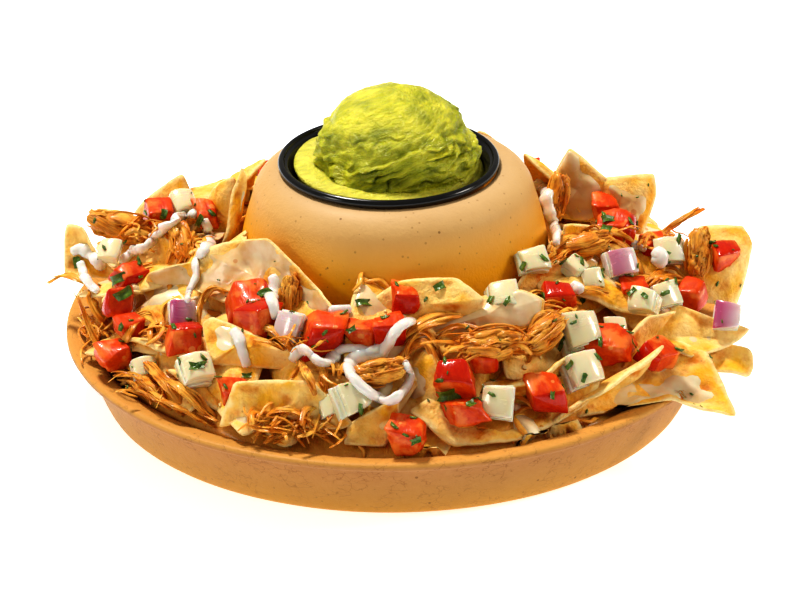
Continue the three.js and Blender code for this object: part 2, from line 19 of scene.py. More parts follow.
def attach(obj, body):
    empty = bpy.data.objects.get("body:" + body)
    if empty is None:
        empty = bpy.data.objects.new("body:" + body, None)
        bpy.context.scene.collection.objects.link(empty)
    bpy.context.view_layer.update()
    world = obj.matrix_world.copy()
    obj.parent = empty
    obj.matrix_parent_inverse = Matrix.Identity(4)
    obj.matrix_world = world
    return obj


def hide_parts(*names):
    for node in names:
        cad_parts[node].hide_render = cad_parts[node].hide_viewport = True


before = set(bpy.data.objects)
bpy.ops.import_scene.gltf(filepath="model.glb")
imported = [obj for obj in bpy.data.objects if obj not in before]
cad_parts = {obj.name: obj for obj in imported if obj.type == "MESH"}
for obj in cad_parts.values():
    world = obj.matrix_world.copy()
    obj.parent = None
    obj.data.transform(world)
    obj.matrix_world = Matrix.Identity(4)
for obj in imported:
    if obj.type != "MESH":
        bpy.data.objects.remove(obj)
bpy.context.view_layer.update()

MM = 0.001
scene = bpy.context.scene
print("CAD nodes:", len(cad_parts))

# %% [markdown]
# ## The camera
#
# The camera comes first, because small toppings are placed by where they show in its view.
# It stands two metres off with a long lens, so the circles of the dish stay nearly true
# ellipses. Its axes are written out, which keeps its small roll exact.

# %% Camera
VIEW_WIDTH, VIEW_HEIGHT = 801, 601
FOCAL_LENGTH_PX = 4697.0
SENSOR_WIDTH = 36.0
CAMERA_ELEVATION = math.radians(25.17)
CAMERA_ROLL = math.radians(-0.75)
CAMERA_DISTANCE = 2000.0
CAMERA_TARGET = Vector((2.2, 0.0, 38.2))

camera_back = Vector((0, -math.cos(CAMERA_ELEVATION), math.sin(CAMERA_ELEVATION)))
level_right = Vector((1, 0, 0))
level_up = camera_back.cross(level_right)
camera_right = level_right * math.cos(CAMERA_ROLL) + level_up * math.sin(CAMERA_ROLL)
camera_up = level_up * math.cos(CAMERA_ROLL) - level_right * math.sin(CAMERA_ROLL)
camera_place = CAMERA_TARGET + camera_back * CAMERA_DISTANCE

camera_data = bpy.data.cameras.new("camera")
camera_data.sensor_width = SENSOR_WIDTH
camera_data.lens = FOCAL_LENGTH_PX * SENSOR_WIDTH / VIEW_WIDTH
camera_data.clip_end = 20
camera = bpy.data.objects.new("camera", camera_data)
camera.matrix_world = Matrix.Translation(camera_place * MM) @ (
    Matrix((camera_right, camera_up, camera_back)).transposed().to_4x4()
)
scene.collection.objects.link(camera)
scene.camera = camera


def view_ray(across, down):
    """Direction from the camera through a place in its view."""
    right = (across - VIEW_WIDTH / 2) / FOCAL_LENGTH_PX
    up = (VIEW_HEIGHT / 2 - down) / FOCAL_LENGTH_PX
    return (camera_right * right + camera_up * up - camera_back).normalized()


print("lens", round(camera_data.lens, 1), "mm")

# %% [markdown]
# ## Light and table
#
# A pale studio: an even room, a small strong lamp high behind the dish, which gives wet food
# and the edges of chips their sparkle, and a lamp low on each side. The table is a light
# table, so no hard shadow lies on it. The picture is developed with some contrast, as food
# pictures are.

# %% Light and table
ROOM_COLOUR = (1.0, 0.96, 0.88, 1)
ROOM_STRENGTH = 0.24
LIT_PLACE = Vector((0, 0, 0.04))

world = bpy.data.worlds.new("studio")
world.use_nodes = True
background = world.node_tree.nodes["Background"]
background.inputs["Color"].default_value = ROOM_COLOUR
background.inputs["Strength"].default_value = ROOM_STRENGTH
scene.world = world


def soft_lamp(name, place, size, power, colour):
    """A round lamp that looks at the middle of the dish."""
    lamp_data = bpy.data.lights.new(name, "AREA")
    lamp_data.shape = "DISK"
    lamp_data.size = size
    lamp_data.energy = power
    lamp_data.color = colour
    lamp = bpy.data.objects.new(name, lamp_data)
    lamp.location = place
    lamp.rotation_euler = (LIT_PLACE - Vector(place)).to_track_quat("-Z", "Y").to_euler()
    scene.collection.objects.link(lamp)


# Each lamp: its place, how wide it is, its power and its colour.
LAMPS = {
    "key_lamp": ((-0.3, 0.35, 1.1), 0.2, 10.4, (1.0, 0.97, 0.92)),
    "left_lamp": ((-0.95, -0.55, 0.5), 0.3, 2.0, (1.0, 0.96, 0.9)),
    "right_lamp": ((0.95, -0.1, 0.55), 0.3, 3.2, (1.0, 0.95, 0.88)),
}
for name, settings in LAMPS.items():
    soft_lamp(name, *settings)
scene.view_settings.view_transform = "Standard"
scene.view_settings.look = "High Contrast"
scene.cycles.use_denoising = True

TABLE_HALF = 1.5
TABLE_DROP = 0.0004
TABLE_CORNERS = ((-1, -1), (1, -1), (1, 1), (-1, 1))
table_mesh = bpy.data.meshes.new("table")
table_points = [(TABLE_HALF * x, TABLE_HALF * y, 0) for x, y in TABLE_CORNERS]
table_mesh.from_pydata(table_points, [], [(0, 1, 2, 3)])
table = bpy.data.objects.new("table", table_mesh)
table.location.z = -TABLE_DROP
scene.collection.objects.link(table)

# %% [markdown]
# ## Shader helpers
#
# A material here is a short list of nodes. `add` makes one node and wires it in one call: a
# socket given as a value is a link, anything else is a plain setting. Effects that several
# foods share are node groups, built once: mottling, specks and fibres.

# %% Shader helpers
def add(tree, kind, inputs=None, family="ShaderNode", **settings):
    """One node: its settings first, then its sockets by name or number."""
    made = tree.nodes.new(family + kind)
    for name, value in settings.items():
        setattr(made, name, value)
    for socket, value in (inputs or {}).items():
        if isinstance(value, bpy.types.NodeSocket):
            tree.links.new(value, made.inputs[socket])
        else:
            made.inputs[socket].default_value = value
    return made


def mix(tree, share, first, second):
    """A colour between two colours."""
    made = tree.nodes.new("ShaderNodeMix")
    made.data_type = "RGBA"
    for index, value in ((0, share), (6, first), (7, second)):
        if isinstance(value, bpy.types.NodeSocket):
            tree.links.new(value, made.inputs[index])
        else:
            made.inputs[index].default_value = value
    return made.outputs[2]


def remap(tree, value, low, high, start=0.0, end=1.0):
    """A value's range from low to high becomes start to end, and stays there outside it."""
    sockets = {"Value": value, "From Min": low, "From Max": high, "To Min": start, "To Max": end}
    return add(tree, "MapRange", sockets).outputs["Result"]


def maths(tree, operation, *values, clamp=False):
    """One step of arithmetic on values or sockets."""
    made = add(tree, "Math", dict(enumerate(values)), operation=operation, use_clamp=clamp)
    return made.outputs[0]


def between(tree, mask, low, high):
    """A value between two values, by a mask from 0 to 1."""
    return remap(tree, mask, 0.0, 1.0, low, high)


def tint(tree, base, mask, share, tone):
    """A colour that a mask takes a share of the way to another."""
    return mix(tree, between(tree, mask, 0.0, share), base, tone)


def colour(red, green, blue):
    """A full colour for a socket."""
    return (red, green, blue, 1.0)


def group(name, inputs, outputs):
    """An empty node group with named number inputs and outputs."""
    tree = bpy.data.node_groups.new(name, "ShaderNodeTree")
    for label, value in inputs.items():
        kind = "NodeSocketVector" if isinstance(value, tuple) else "NodeSocketFloat"
        tree.interface.new_socket(label, in_out="INPUT", socket_type=kind).default_value = value
    for label in outputs:
        tree.interface.new_socket(label, in_out="OUTPUT", socket_type="NodeSocketFloat")
    start = tree.nodes.new("NodeGroupInput")
    end = tree.nodes.new("NodeGroupOutput")
    return tree, start.outputs, end.inputs


def use(tree, shared, **inputs):
    """Places a shared group in a material with its own values."""
    made = tree.nodes.new("ShaderNodeGroup")
    made.node_tree = shared
    for label, value in inputs.items():
        socket = made.inputs[label.replace("_", " ")]
        if isinstance(value, bpy.types.NodeSocket):
            tree.links.new(value, socket)
        else:
            socket.default_value = value
    return made.outputs


# Mottling: soft patches between 0 and 1, such as toasting, ripeness or sauce.
MOTTLING, given, result = group(
    "mottling", {"Place": (0.0, 0.0, 0.0), "Size": 10.0, "Contrast": 1.0}, ["Mask"]
)
sockets = {"Vector": given["Place"], "Scale": maths(MOTTLING, "DIVIDE", 1000.0, given["Size"])}
clouds = add(MOTTLING, "TexNoise", {**sockets, "Detail": 4.0, "Roughness": 0.55})
centred = maths(MOTTLING, "SUBTRACT", clouds.outputs["Fac"], 0.5)
stretched = maths(MOTTLING, "MULTIPLY_ADD", centred, given["Contrast"], 0.5, clamp=True)
MOTTLING.links.new(stretched, result["Mask"])

# Specks: small round spots of uneven size, on a share of the cells.
SPECK_SHARPNESS = 30.0
SPECKS, given, result = group(
    "specks", {"Place": (0.0, 0.0, 0.0), "Spacing": 5.0, "Spot": 0.2, "Share": 0.5}, ["Mask"]
)
sockets = {"Vector": given["Place"], "Scale": maths(SPECKS, "DIVIDE", 1000.0, given["Spacing"])}
cells = add(SPECKS, "TexVoronoi", sockets)
pick = add(SPECKS, "SeparateColor", {0: cells.outputs["Color"]})
kept = maths(SPECKS, "LESS_THAN", pick.outputs[0], given["Share"])
reach = maths(SPECKS, "MULTIPLY", given["Spot"], pick.outputs[1])
edge = maths(SPECKS, "SUBTRACT", reach, cells.outputs["Distance"])
sharp = maths(SPECKS, "MULTIPLY", edge, SPECK_SHARPNESS, clamp=True)
SPECKS.links.new(maths(SPECKS, "MULTIPLY", sharp, kept), result["Mask"])

# Fibres: fine streaks along one direction, for grain in meat, onion and moulded pulp.
FIBRES, given, result = group(
    "fibres",
    {"Place": (0.0, 0.0, 0.0), "Stretch": (1.0, 1.0, 0.1), "Size": 1.0, "Contrast": 2.0},
    ["Mask"],
)
scale = maths(FIBRES, "DIVIDE", 1000.0, given["Size"])
long_way = add(FIBRES, "VectorMath", {0: given["Place"], 1: given["Stretch"]}, operation="MULTIPLY")
sockets = {"Vector": long_way.outputs[0], "Scale": scale, "Detail": 3.0, "Roughness": 0.6}
streaks = add(FIBRES, "TexNoise", sockets)
centred = maths(FIBRES, "SUBTRACT", streaks.outputs["Fac"], 0.5)
stretched = maths(FIBRES, "MULTIPLY_ADD", centred, given["Contrast"], 0.5, clamp=True)
FIBRES.links.new(stretched, result["Mask"])


def mottled(tree, place, size, contrast):
    """Soft patches; the size of one is in millimetres."""
    return use(tree, MOTTLING, Place=place, Size=size, Contrast=contrast)["Mask"]


def specked(tree, place, spacing, spot, share):
    """Small spots; their spacing is in millimetres, and a spot is a part of it."""
    return use(tree, SPECKS, Place=place, Spacing=spacing, Spot=spot, Share=share)["Mask"]


def streaked(tree, place, stretch, size, contrast):
    """Fine streaks, which run along the axis that is stretched least."""
    made = use(tree, FIBRES, Place=place, Stretch=stretch, Size=size, Contrast=contrast)
    return made["Mask"]


def material(name, **plain):
    """A Principled material. Plain values are set straight on the shader's own sockets."""
    made = bpy.data.materials.new(name)
    made.use_nodes = True
    tree = made.node_tree
    shader = tree.nodes["Principled BSDF"]
    for label, value in plain.items():
        shader.inputs[label.replace("_", " ")].default_value = value
    place = add(tree, "TexCoord").outputs["Object"]
    return made, tree, shader, place


def own_place(tree, label):
    """A coordinate or a mask that a piece carries in its own points."""
    return add(tree, "Attribute", attribute_name=label).outputs


def bump(tree, shader, height, strength, distance):
    """Fine relief that the light sees, too small to be modelled."""
    made = add(tree, "Bump", {"Height": height, "Strength": strength, "Distance": distance})
    tree.links.new(made.outputs["Normal"], shader.inputs["Normal"])
    return made.outputs["Normal"]


def feed(tree, shader, **links):
    """Links values to the sockets of a shader by name."""
    for label, value in links.items():
        tree.links.new(value, shader.inputs[label.replace("_", " ")])

# %% [markdown]
# ## The finishes
#
# The platter is pressed fibre: golden on the side of the pedestal, painted paler on its top as
# painted light from above, and painted darker on the outer wall as painted shade, with small dark
# specks and fine dry cracks. Chips are fried corn: golden, toasted on their blisters, and painted
# pale along the edge as painted light. Wet foods get a coat, which gives them a second, sharper
# highlight.

# %% Platter finish
def from_axis(tree, place):
    """How far a place is from the upright axis of the dish."""
    level = add(tree, "VectorMath", {0: place, 1: (1.0, 1.0, 0.0)}, operation="MULTIPLY")
    return add(tree, "VectorMath", {0: level.outputs[0]}, operation="LENGTH").outputs["Value"]


platter_fibre, tree, shader, place = material(
    "platter_fibre", Coat_Weight=0.05, Coat_Roughness=0.35, Specular_IOR_Level=0.16
)
height = add(tree, "SeparateXYZ", {0: place}).outputs["Z"]
outside = remap(tree, from_axis(tree, place), 0.119, 0.133)
below_lip = remap(tree, height, 0.0293, 0.0303, 1.0, 0.55)
outer_wall = maths(tree, "MULTIPLY", outside, below_lip)
patches = mottled(tree, place, 45.0, 1.6)
fine = mottled(tree, place, 2.5, 2.2)
golden = mix(tree, patches, colour(0.88, 0.385, 0.004), colour(0.97, 0.49, 0.012))
golden = mix(tree, outside, golden, colour(0.88, 0.47, 0.10))
# The top of the pedestal is painted pale beige: painted light from above.
lit_pedestal_top = mix(tree, patches, colour(0.54, 0.36, 0.18), colour(0.62, 0.44, 0.25))
# The outer wall is painted darker than the tray: painted shade. Towards its foot it is painted
# darker still, as painted shade against the glow of the light table. The top of the lip keeps part
# of the lighter colour.
shaded_wall = mix(tree, patches, colour(0.41, 0.18, 0.052), colour(0.475, 0.23, 0.078))
shaded_wall = mix(tree, remap(tree, height, 0.0, 0.022, 0.8, 0.0), shaded_wall, colour(0.20, 0.095, 0.055))
base = mix(tree, remap(tree, height, 0.074, 0.102), golden, lit_pedestal_top)
base = tint(tree, mix(tree, outer_wall, base, shaded_wall), fine, 0.08, colour(0.84, 0.52, 0.18))
big_specks = specked(tree, place, 6.0, 0.13, 0.5)
small_specks = specked(tree, place, 2.4, 0.24, 0.45)
base = tint(tree, base, big_specks, 0.7, colour(0.20, 0.08, 0.02))
base = tint(tree, base, small_specks, 0.45, colour(0.32, 0.15, 0.04))

# Cracks run along the edges of cells that noise has bent, where a patch allows them.
squeezed = add(tree, "VectorMath", {0: place, 1: (1.0, 1.0, 2.2)}, operation="MULTIPLY")
bends = add(tree, "TexNoise", {"Vector": place, "Scale": 160.0, "Detail": 2.0})
sockets = {0: bends.outputs["Color"], 1: (0.012, 0.012, 0.012), 2: squeezed.outputs[0]}
bent = add(tree, "VectorMath", sockets, operation="MULTIPLY_ADD")
sockets = {"Vector": bent.outputs[0], "Scale": 170.0}
cells = add(tree, "TexVoronoi", sockets, feature="DISTANCE_TO_EDGE")
thin = remap(tree, cells.outputs["Distance"], 0.0, 0.05, 1.0, 0.0)
allowed = remap(tree, mottled(tree, place, 9.0, 7.0), 0.42, 0.75)
cracks = maths(tree, "MULTIPLY", maths(tree, "MULTIPLY", thin, allowed), outer_wall)
base = tint(tree, base, cracks, 0.75, colour(0.30, 0.12, 0.03))
feed(tree, shader, Base_Color=base, Roughness=between(tree, patches, 0.42, 0.56))
grit = mottled(tree, place, 0.9, 1.8)
bump(tree, shader, maths(tree, "ADD", maths(tree, "SUBTRACT", fine, cracks), grit), 0.3, 0.0004)

# %% Cup and table finishes
cup_black, tree, shader, place = material("cup_black")
smudges = mottled(tree, place, 14.0, 2.0)
film = mottled(tree, place, 1.2, 1.5)
black = mix(tree, smudges, colour(0.006, 0.006, 0.007), colour(0.014, 0.014, 0.015))
feed(tree, shader, Base_Color=black, Roughness=between(tree, smudges, 0.12, 0.24))
bump(tree, shader, film, 0.05, 0.0002)

table_finish, tree, shader, place = material(
    "table_finish", Emission_Color=colour(0.86, 0.93, 1.0), Emission_Strength=0.5, Roughness=0.7
)
haze = mottled(tree, place, 300.0, 0.6)
feed(tree, shader, Base_Color=mix(tree, haze, colour(0.82, 0.86, 0.92), colour(0.85, 0.88, 0.94)))
table_mesh.materials.append(table_finish)

# %% Guacamole finish
mashed_avocado, tree, shader, place = material(
    "mashed_avocado", Subsurface_Weight=0.1, Subsurface_Scale=0.003, Specular_IOR_Level=0.3,
    Coat_Weight=0.3, Coat_Roughness=0.16,
)
smear = own_place(tree, "smear")["Vector"]
ripe = own_place(tree, "ripe")["Fac"]
sunk = own_place(tree, "sunk")["Fac"]
folds = streaked(tree, smear, (0.22, 0.45, 1.0), 3.0, 2.6)
fine = streaked(tree, smear, (0.14, 0.35, 1.0), 1.0, 2.4)
patches = mottled(tree, place, 13.0, 2.6)
green = mix(tree, folds, colour(0.13, 0.18, 0.002), colour(0.66, 0.64, 0.02))
yellow = mix(tree, fine, colour(0.76, 0.72, 0.03), colour(0.95, 0.86, 0.10))
# Yellow where the ripe mask is high: riper mash in the puddle, and painted light on the top and
# upper left of the scoop.
share = maths(tree, "ADD", ripe, remap(tree, patches, 0.2, 0.8, -0.25, 0.35), clamp=True)
base = mix(tree, share, green, yellow)
base = mix(tree, remap(tree, ripe, 0.6, 1.0, 0.0, 0.65), base, colour(0.98, 0.86, 0.20))
base = mix(tree, between(tree, fine, 0.3, 0.0), base, colour(0.17, 0.21, 0.008))
# The creases under the folds are painted dark green: painted shade.
base = tint(tree, base, sunk, 0.88, colour(0.08, 0.115, 0.001))
feed(tree, shader, Base_Color=base, Roughness=between(tree, fine, 0.3, 0.5))
crumbly = mottled(tree, place, 1.4, 2.2)
normal = bump(tree, shader, maths(tree, "ADD", fine, crumbly), 0.6, 0.0009)
tree.links.new(normal, shader.inputs["Coat Normal"])

# %% Chip and cheese finishes
corn_chip, tree, shader, place = material(
    "corn_chip", Subsurface_Weight=0.1, Subsurface_Scale=0.002, Specular_IOR_Level=0.22,
    Coat_Weight=0.06, Coat_Roughness=0.3,
)
toast = own_place(tree, "toast")["Fac"]
patches = mottled(tree, place, 13.0, 3.4)
small = mottled(tree, place, 3.5, 2.6)
base = mix(tree, patches, colour(0.99, 0.71, 0.27), colour(0.96, 0.51, 0.035))
# Where the toast mask is low, along the rim, the chip is painted pale: painted light.
base = mix(tree, remap(tree, toast, 0.05, 0.28, 0.8, 0.0), base, colour(0.94, 0.76, 0.38))
browned = remap(tree, toast, 0.4, 1.0)
browned = maths(tree, "ADD", browned, between(tree, small, -0.3, 0.3), clamp=True)
base = mix(tree, browned, base, colour(0.68, 0.22, 0.01))
hull = specked(tree, place, 4.2, 0.2, 0.3)
base = tint(tree, base, hull, 0.5, colour(0.40, 0.17, 0.04))
feed(tree, shader, Base_Color=base, Roughness=between(tree, patches, 0.38, 0.58))
bubbles = mottled(tree, place, 1.6, 2.0)
bump(tree, shader, maths(tree, "ADD", bubbles, small), 0.5, 0.0007)

melted_cheese, tree, shader, place = material(
    "melted_cheese", Subsurface_Weight=0.25, Subsurface_Scale=0.003, Specular_IOR_Level=0.4,
    Coat_Weight=0.3, Coat_Roughness=0.12,
)
patches = mottled(tree, place, 13.0, 3.4)
bits = specked(tree, place, 6.0, 0.3, 0.3)
milky = own_place(tree, "milky")["Fac"]
oily = mix(tree, patches, colour(0.70, 0.37, 0.07), colour(0.84, 0.66, 0.40))
thick = mix(tree, patches, colour(0.82, 0.62, 0.34), colour(0.86, 0.74, 0.52))
base = tint(tree, mix(tree, milky, oily, thick), bits, 0.6, colour(0.60, 0.20, 0.03))
feed(tree, shader, Base_Color=base, Roughness=between(tree, patches, 0.25, 0.38))
bump(tree, shader, patches, 0.1, 0.0008)

poured_cream, tree, shader, place = material(
    "poured_cream",
    Subsurface_Weight=0.3, Subsurface_Scale=0.003, Coat_Weight=0.4, Coat_Roughness=0.1,
)
patches = mottled(tree, place, 6.0, 1.5)
base = mix(tree, patches, colour(0.80, 0.77, 0.70), colour(0.88, 0.86, 0.82))
feed(tree, shader, Base_Color=base, Roughness=between(tree, patches, 0.22, 0.34))
bump(tree, shader, patches, 0.1, 0.0006)

# %% Meat finishes
FRONT_SMEAR = (-0.05, -0.08)


def pulled_meat(name, pale, sauced, dark, smeared_from=0.0):
    """Shredded chicken in red sauce: fine fibres along each shred, painted darker in the folds
    and grooves as painted shade, with some fibres darker by their own tone.

    Past a distance from the middle, the front of it is smeared with golden cheese."""
    made, tree, shader, place = material(
        name, Subsurface_Weight=0.08, Subsurface_Scale=0.002, Specular_IOR_Level=0.25,
        Coat_Weight=0.25, Coat_Roughness=0.18,
    )
    sunk = own_place(tree, "sunk")["Fac"]
    fibres = streaked(tree, own_place(tree, "grain")["Vector"], (1.0, 1.0, 0.08), 0.7, 2.6)
    sauce = mottled(tree, place, 7.0, 3.2)
    # The folds mask darkens grooves as painted shade, and some fibres by their own random tone.
    folds = maths(tree, "ADD", sunk, remap(tree, fibres, 0.0, 0.6, 0.35, -0.15), clamp=True)
    base = mix(tree, folds, mix(tree, sauce, pale, sauced), dark)
    if smeared_from:
        golden = mix(tree, sauce, colour(0.74, 0.38, 0.06), colour(0.66, 0.27, 0.03))
        front = remap(tree, add(tree, "SeparateXYZ", {0: place}).outputs["Y"], *FRONT_SMEAR)
        edge = remap(tree, from_axis(tree, place), smeared_from, smeared_from + 0.006)
        base = mix(tree, maths(tree, "MULTIPLY", front, edge), base, golden)
    feed(tree, shader, Base_Color=base, Roughness=between(tree, sauce, 0.5, 0.3))
    bump(tree, shader, fibres, 0.5, 0.0005)
    return made


sauced_chicken = pulled_meat(
    "sauced_chicken", colour(0.98, 0.56, 0.10), colour(0.80, 0.25, 0.01), colour(0.26, 0.05, 0.002)
)
# The bed's meat is the chicken's finish with darker colours: painted shade between the pieces.
shaded_bed_meat = pulled_meat(
    "shaded_bed_meat", colour(0.62, 0.30, 0.06), colour(0.46, 0.14, 0.014), colour(0.17, 0.045, 0.006),
    smeared_from=0.109,
)

# %% Tomato, onion and herb finishes
diced_tomato_flesh, tree, shader, place = material(
    "diced_tomato_flesh", Subsurface_Weight=0.2, Subsurface_Scale=0.002, Specular_IOR_Level=0.25,
    Coat_Weight=0.22, Coat_Roughness=0.08,
)
skin = own_place(tree, "skin")["Fac"]
grain = own_place(tree, "grain")["Vector"]
streaks = streaked(tree, grain, (1.0, 0.3, 1.0), 2.5, 2.4)
pale_core = remap(tree, mottled(tree, grain, 9.0, 4.0), 0.5, 1.0, 0.0, 0.75)
flesh = mix(tree, streaks, colour(0.58, 0.035, 0.0), colour(0.74, 0.09, 0.003))
flesh = mix(tree, pale_core, flesh, colour(0.84, 0.25, 0.05))
seeds = specked(tree, grain, 4.5, 0.42, 0.3)
flesh = tint(tree, flesh, seeds, 0.5, colour(0.80, 0.42, 0.12))
peel = mix(tree, streaks, colour(0.50, 0.014, 0.003), colour(0.62, 0.035, 0.004))
base = mix(tree, skin, flesh, peel)
feed(tree, shader, Base_Color=base, Roughness=between(tree, skin, 0.36, 0.2))
bump(tree, shader, streaks, 0.3, 0.0006)


def onion(name, pale, deep, peel):
    """Wet, half-clear onion: fine veins along each layer, a coloured outer skin, and cut edges
    painted pale as painted light shining through them.
    """
    made, tree, shader, place = material(
        name, Subsurface_Weight=0.5, Subsurface_Scale=0.005, Transmission_Weight=0.13,
        Coat_Weight=0.5, Coat_Roughness=0.06,
    )
    skin = own_place(tree, "skin")["Fac"]
    rim = own_place(tree, "rim")["Fac"]
    grain = own_place(tree, "grain")["Vector"]
    veins = streaked(tree, grain, (0.06, 1.0, 1.0), 2.6, 1.6)
    milky = mottled(tree, grain, 7.0, 2.2)
    base = mix(tree, milky, pale, deep)
    base = mix(tree, remap(tree, veins, 0.45, 1.0, 0.0, 0.1), base, colour(0.96, 0.92, 0.76))
    # Near the cut edges the colour is painted pale: painted light shining through the thin edge.
    base = mix(tree, remap(tree, rim, 0.3, 1.0, 0.0, 0.8), base, colour(0.96, 0.94, 0.82))
    base = mix(tree, skin, base, peel)
    feed(tree, shader, Base_Color=base, Roughness=between(tree, veins, 0.18, 0.32))
    bump(tree, shader, veins, 0.05, 0.0004)
    return made


white_onion = onion(
    "white_onion", colour(1.0, 0.84, 0.61), colour(0.98, 0.77, 0.42), colour(0.99, 0.81, 0.53)
)
red_onion = onion(
    "red_onion", colour(0.92, 0.82, 0.76), colour(0.82, 0.64, 0.64), colour(0.52, 0.11, 0.25)
)

green_leaf, tree, shader, place = material(
    "green_leaf", Subsurface_Weight=0.15, Subsurface_Scale=0.001,
    Coat_Weight=0.3, Coat_Roughness=0.2, Roughness=0.35,
)
patches = mottled(tree, place, 4.0, 2.5)
veins = streaked(tree, place, (1.0, 0.4, 1.0), 0.8, 2.0)
base = mix(tree, patches, colour(0.03, 0.085, 0.006), colour(0.12, 0.22, 0.015))
base = mix(tree, remap(tree, veins, 0.5, 1.0, 0.0, 0.5), base, colour(0.30, 0.42, 0.06))
feed(tree, shader, Base_Color=base)
bump(tree, shader, veins, 0.3, 0.0003)
print("finishes:", len(bpy.data.materials))

# %% [markdown]
# ## Mesh helpers
#
# Sizes are written in millimetres and turned to metres once, where a piece is made. A `Batch`
# gathers many small closed meshes, such as all the diced tomato, into one piece. Masks and
# own coordinates travel with the points, and the finishes read them by name.

# %% Random numbers and noise
def seeded(seed):
    """Repeatable random numbers between 0 and 1, the same sequence as the CAD model uses."""
    state = [seed]

    def draw():
        state[0] = (state[0] * 1664525 + 1013904223) % 4294967296
        return state[0] / 4294967296

    return draw


def unit(vector):
    """The same direction with a length of one."""
    return vector / np.linalg.norm(vector)


def wave(points, size, seed=0.0):
    """Smooth noise between -1 and 1 at each point; size is the width of one swell."""
    shift = 17.3 * seed
    return np.array(
        [noise.noise(Vector((x / size + shift, y / size, z / size - shift))) for x, y, z in points]
    )


def waves(points, size, seed):
    """Noise along X, Y and Z at each point."""
    return np.stack([wave(points, size, seed + axis) for axis in range(3)], 1)


def turn_about(axis, angle):
    """The matrix that turns rows of points about an axis, on their right."""
    turn = np.eye(3)
    first, second = (axis + 1) % 3, (axis + 2) % 3
    turn[first, first] = turn[second, second] = math.cos(angle)
    turn[first, second], turn[second, first] = math.sin(angle), -math.sin(angle)
    return turn


# %% A batch of small meshes
# The CAD node that most of the food stands for.
HEAP = ("nacho_heap",)
# An edge turned by more degrees than this stays sharp: on soft food, and on food that is cut.
SOFT_EDGE, CUT_EDGE = 80, 55


def mesh_of(name, points, faces, masks):
    """A smooth mesh from points in millimetres, with its masks."""
    mesh = bpy.data.meshes.new(name)
    mesh.from_pydata((np.asarray(points) * MM).tolist(), [], faces)
    for label, values in masks.items():
        values = np.asarray(values, np.float32)
        kind, field = ("FLOAT", "value") if values.ndim == 1 else ("FLOAT_VECTOR", "vector")
        layer = mesh.attributes.new(label, kind, "POINT")
        layer.data.foreach_set(field, values.ravel())
    mesh.shade_smooth()
    return mesh


def ridden(name, mesh, nodes=HEAP):
    """A finished piece, tied to its body and the CAD nodes that it covers."""
    made = bpy.data.objects.new(name, mesh)
    scene.collection.objects.link(made)
    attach(made, "root")
    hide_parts(*nodes)
    mesh.calc_loop_triangles()
    print(f"{name}: {len(mesh.loop_triangles)} triangles")
    return made


class Batch:
    """Many small meshes and their masks, which become one object."""

    def __init__(self, *masks):
        self.points, self.faces, self.count = [], [], 0
        self.masks = {label: [] for label in masks}

    def add(self, points, faces, **masks):
        """Adds one closed mesh, with a value of each mask at every point."""
        self.points.append(np.asarray(points, float))
        self.faces.extend([tuple(index + self.count for index in face) for face in faces])
        for label, values in masks.items():
            self.masks[label].append(np.asarray(values, float))
        self.count += len(points)

    def piece(self, name, finish, nodes=HEAP, sharp=SOFT_EDGE):
        """One object on the dish, standing for the CAD nodes it covers."""
        masks = {label: np.concatenate(parts) for label, parts in self.masks.items()}
        mesh = mesh_of(name, np.concatenate(self.points), self.faces, masks)
        mesh.materials.append(finish)
        mesh.set_sharp_from_angle(angle=math.radians(sharp))
        return ridden(name, mesh, nodes)


# %% Rings, turned shapes and tubes
def circle(angles, radius, height):
    """Points round the upright axis, one for each angle."""
    heights = np.broadcast_to(height, angles.shape)
    return np.stack([radius * np.cos(angles), radius * np.sin(angles), heights], 1)


def ring_faces(rings, around, looped=False):
    """Quads between rings of points, each ring closed on itself, and the last to the first."""
    total = rings * around
    faces = []
    for i in range(rings if looped else rings - 1):
        for j in range(around):
            a, b = i * around + j, i * around + (j + 1) % around
            faces.append((a, b, (b + around) % total, (a + around) % total))
    return faces


def flipped(faces):
    """The same faces, looking the other way."""
    return [face[::-1] for face in faces]


def closed_rings(rings, hubs):
    """Points and faces of a stack of rings, closed at each end by a fan round a hub."""
    count, around = len(rings), len(rings[0])
    faces = ring_faces(count, around)
    last = (count - 1) * around
    for j in range(around):
        k = (j + 1) % around
        faces.append((k, j, count * around))
        faces.append((last + j, last + k, count * around + 1))
    return np.concatenate([*rings, hubs]), faces


def lathe(profile, around, unevenness=0.0, seed=0.0):
    """A closed profile of [radius, height] turned about the upright axis.

    Unevenness is in percent of the radius, and half as many millimetres of the height."""
    angles = np.linspace(0, 2 * math.pi, around, endpoint=False)
    points = np.concatenate([circle(angles, radius, height) for radius, height in profile])
    if unevenness:
        points[:, :2] *= (1 + unevenness * wave(points, 60.0, seed) / 100)[:, None]
        above_foot = points[:, 2] > 1
        points[:, 2] += unevenness * 0.5 * wave(points, 45.0, seed + 1) * above_foot
    return points, ring_faces(len(profile), around, looped=True)


def softened(profile, passes):
    """Cuts the corners of a closed profile, which rounds it."""
    points = np.array(profile, float)
    for _ in range(passes):
        ahead = np.roll(points, -1, axis=0)
        cuts = [points * 0.75 + ahead * 0.25, points * 0.25 + ahead * 0.75]
        points = np.stack(cuts, 1).reshape(-1, points.shape[1])
    return points


def smooth_path(places, steps):
    """A smooth curve through places, at even steps of its parameter."""
    places = np.asarray(places, float)
    before, after = 2 * places[0] - places[1], 2 * places[-1] - places[-2]
    padded = np.concatenate([[before], places, [after]])
    made = []
    for t in np.linspace(0, len(places) - 1, steps):
        i = min(int(t), len(places) - 2)
        f = t - i
        a, b, c, d = padded[i : i + 4]
        bend, twist = 2 * a - 5 * b + 4 * c - d, 3 * b - a - 3 * c + d
        made.append(0.5 * (2 * b + (c - a) * f + bend * f**2 + twist * f**3))
    return np.array(made)


TUBE_TIP = 0.4


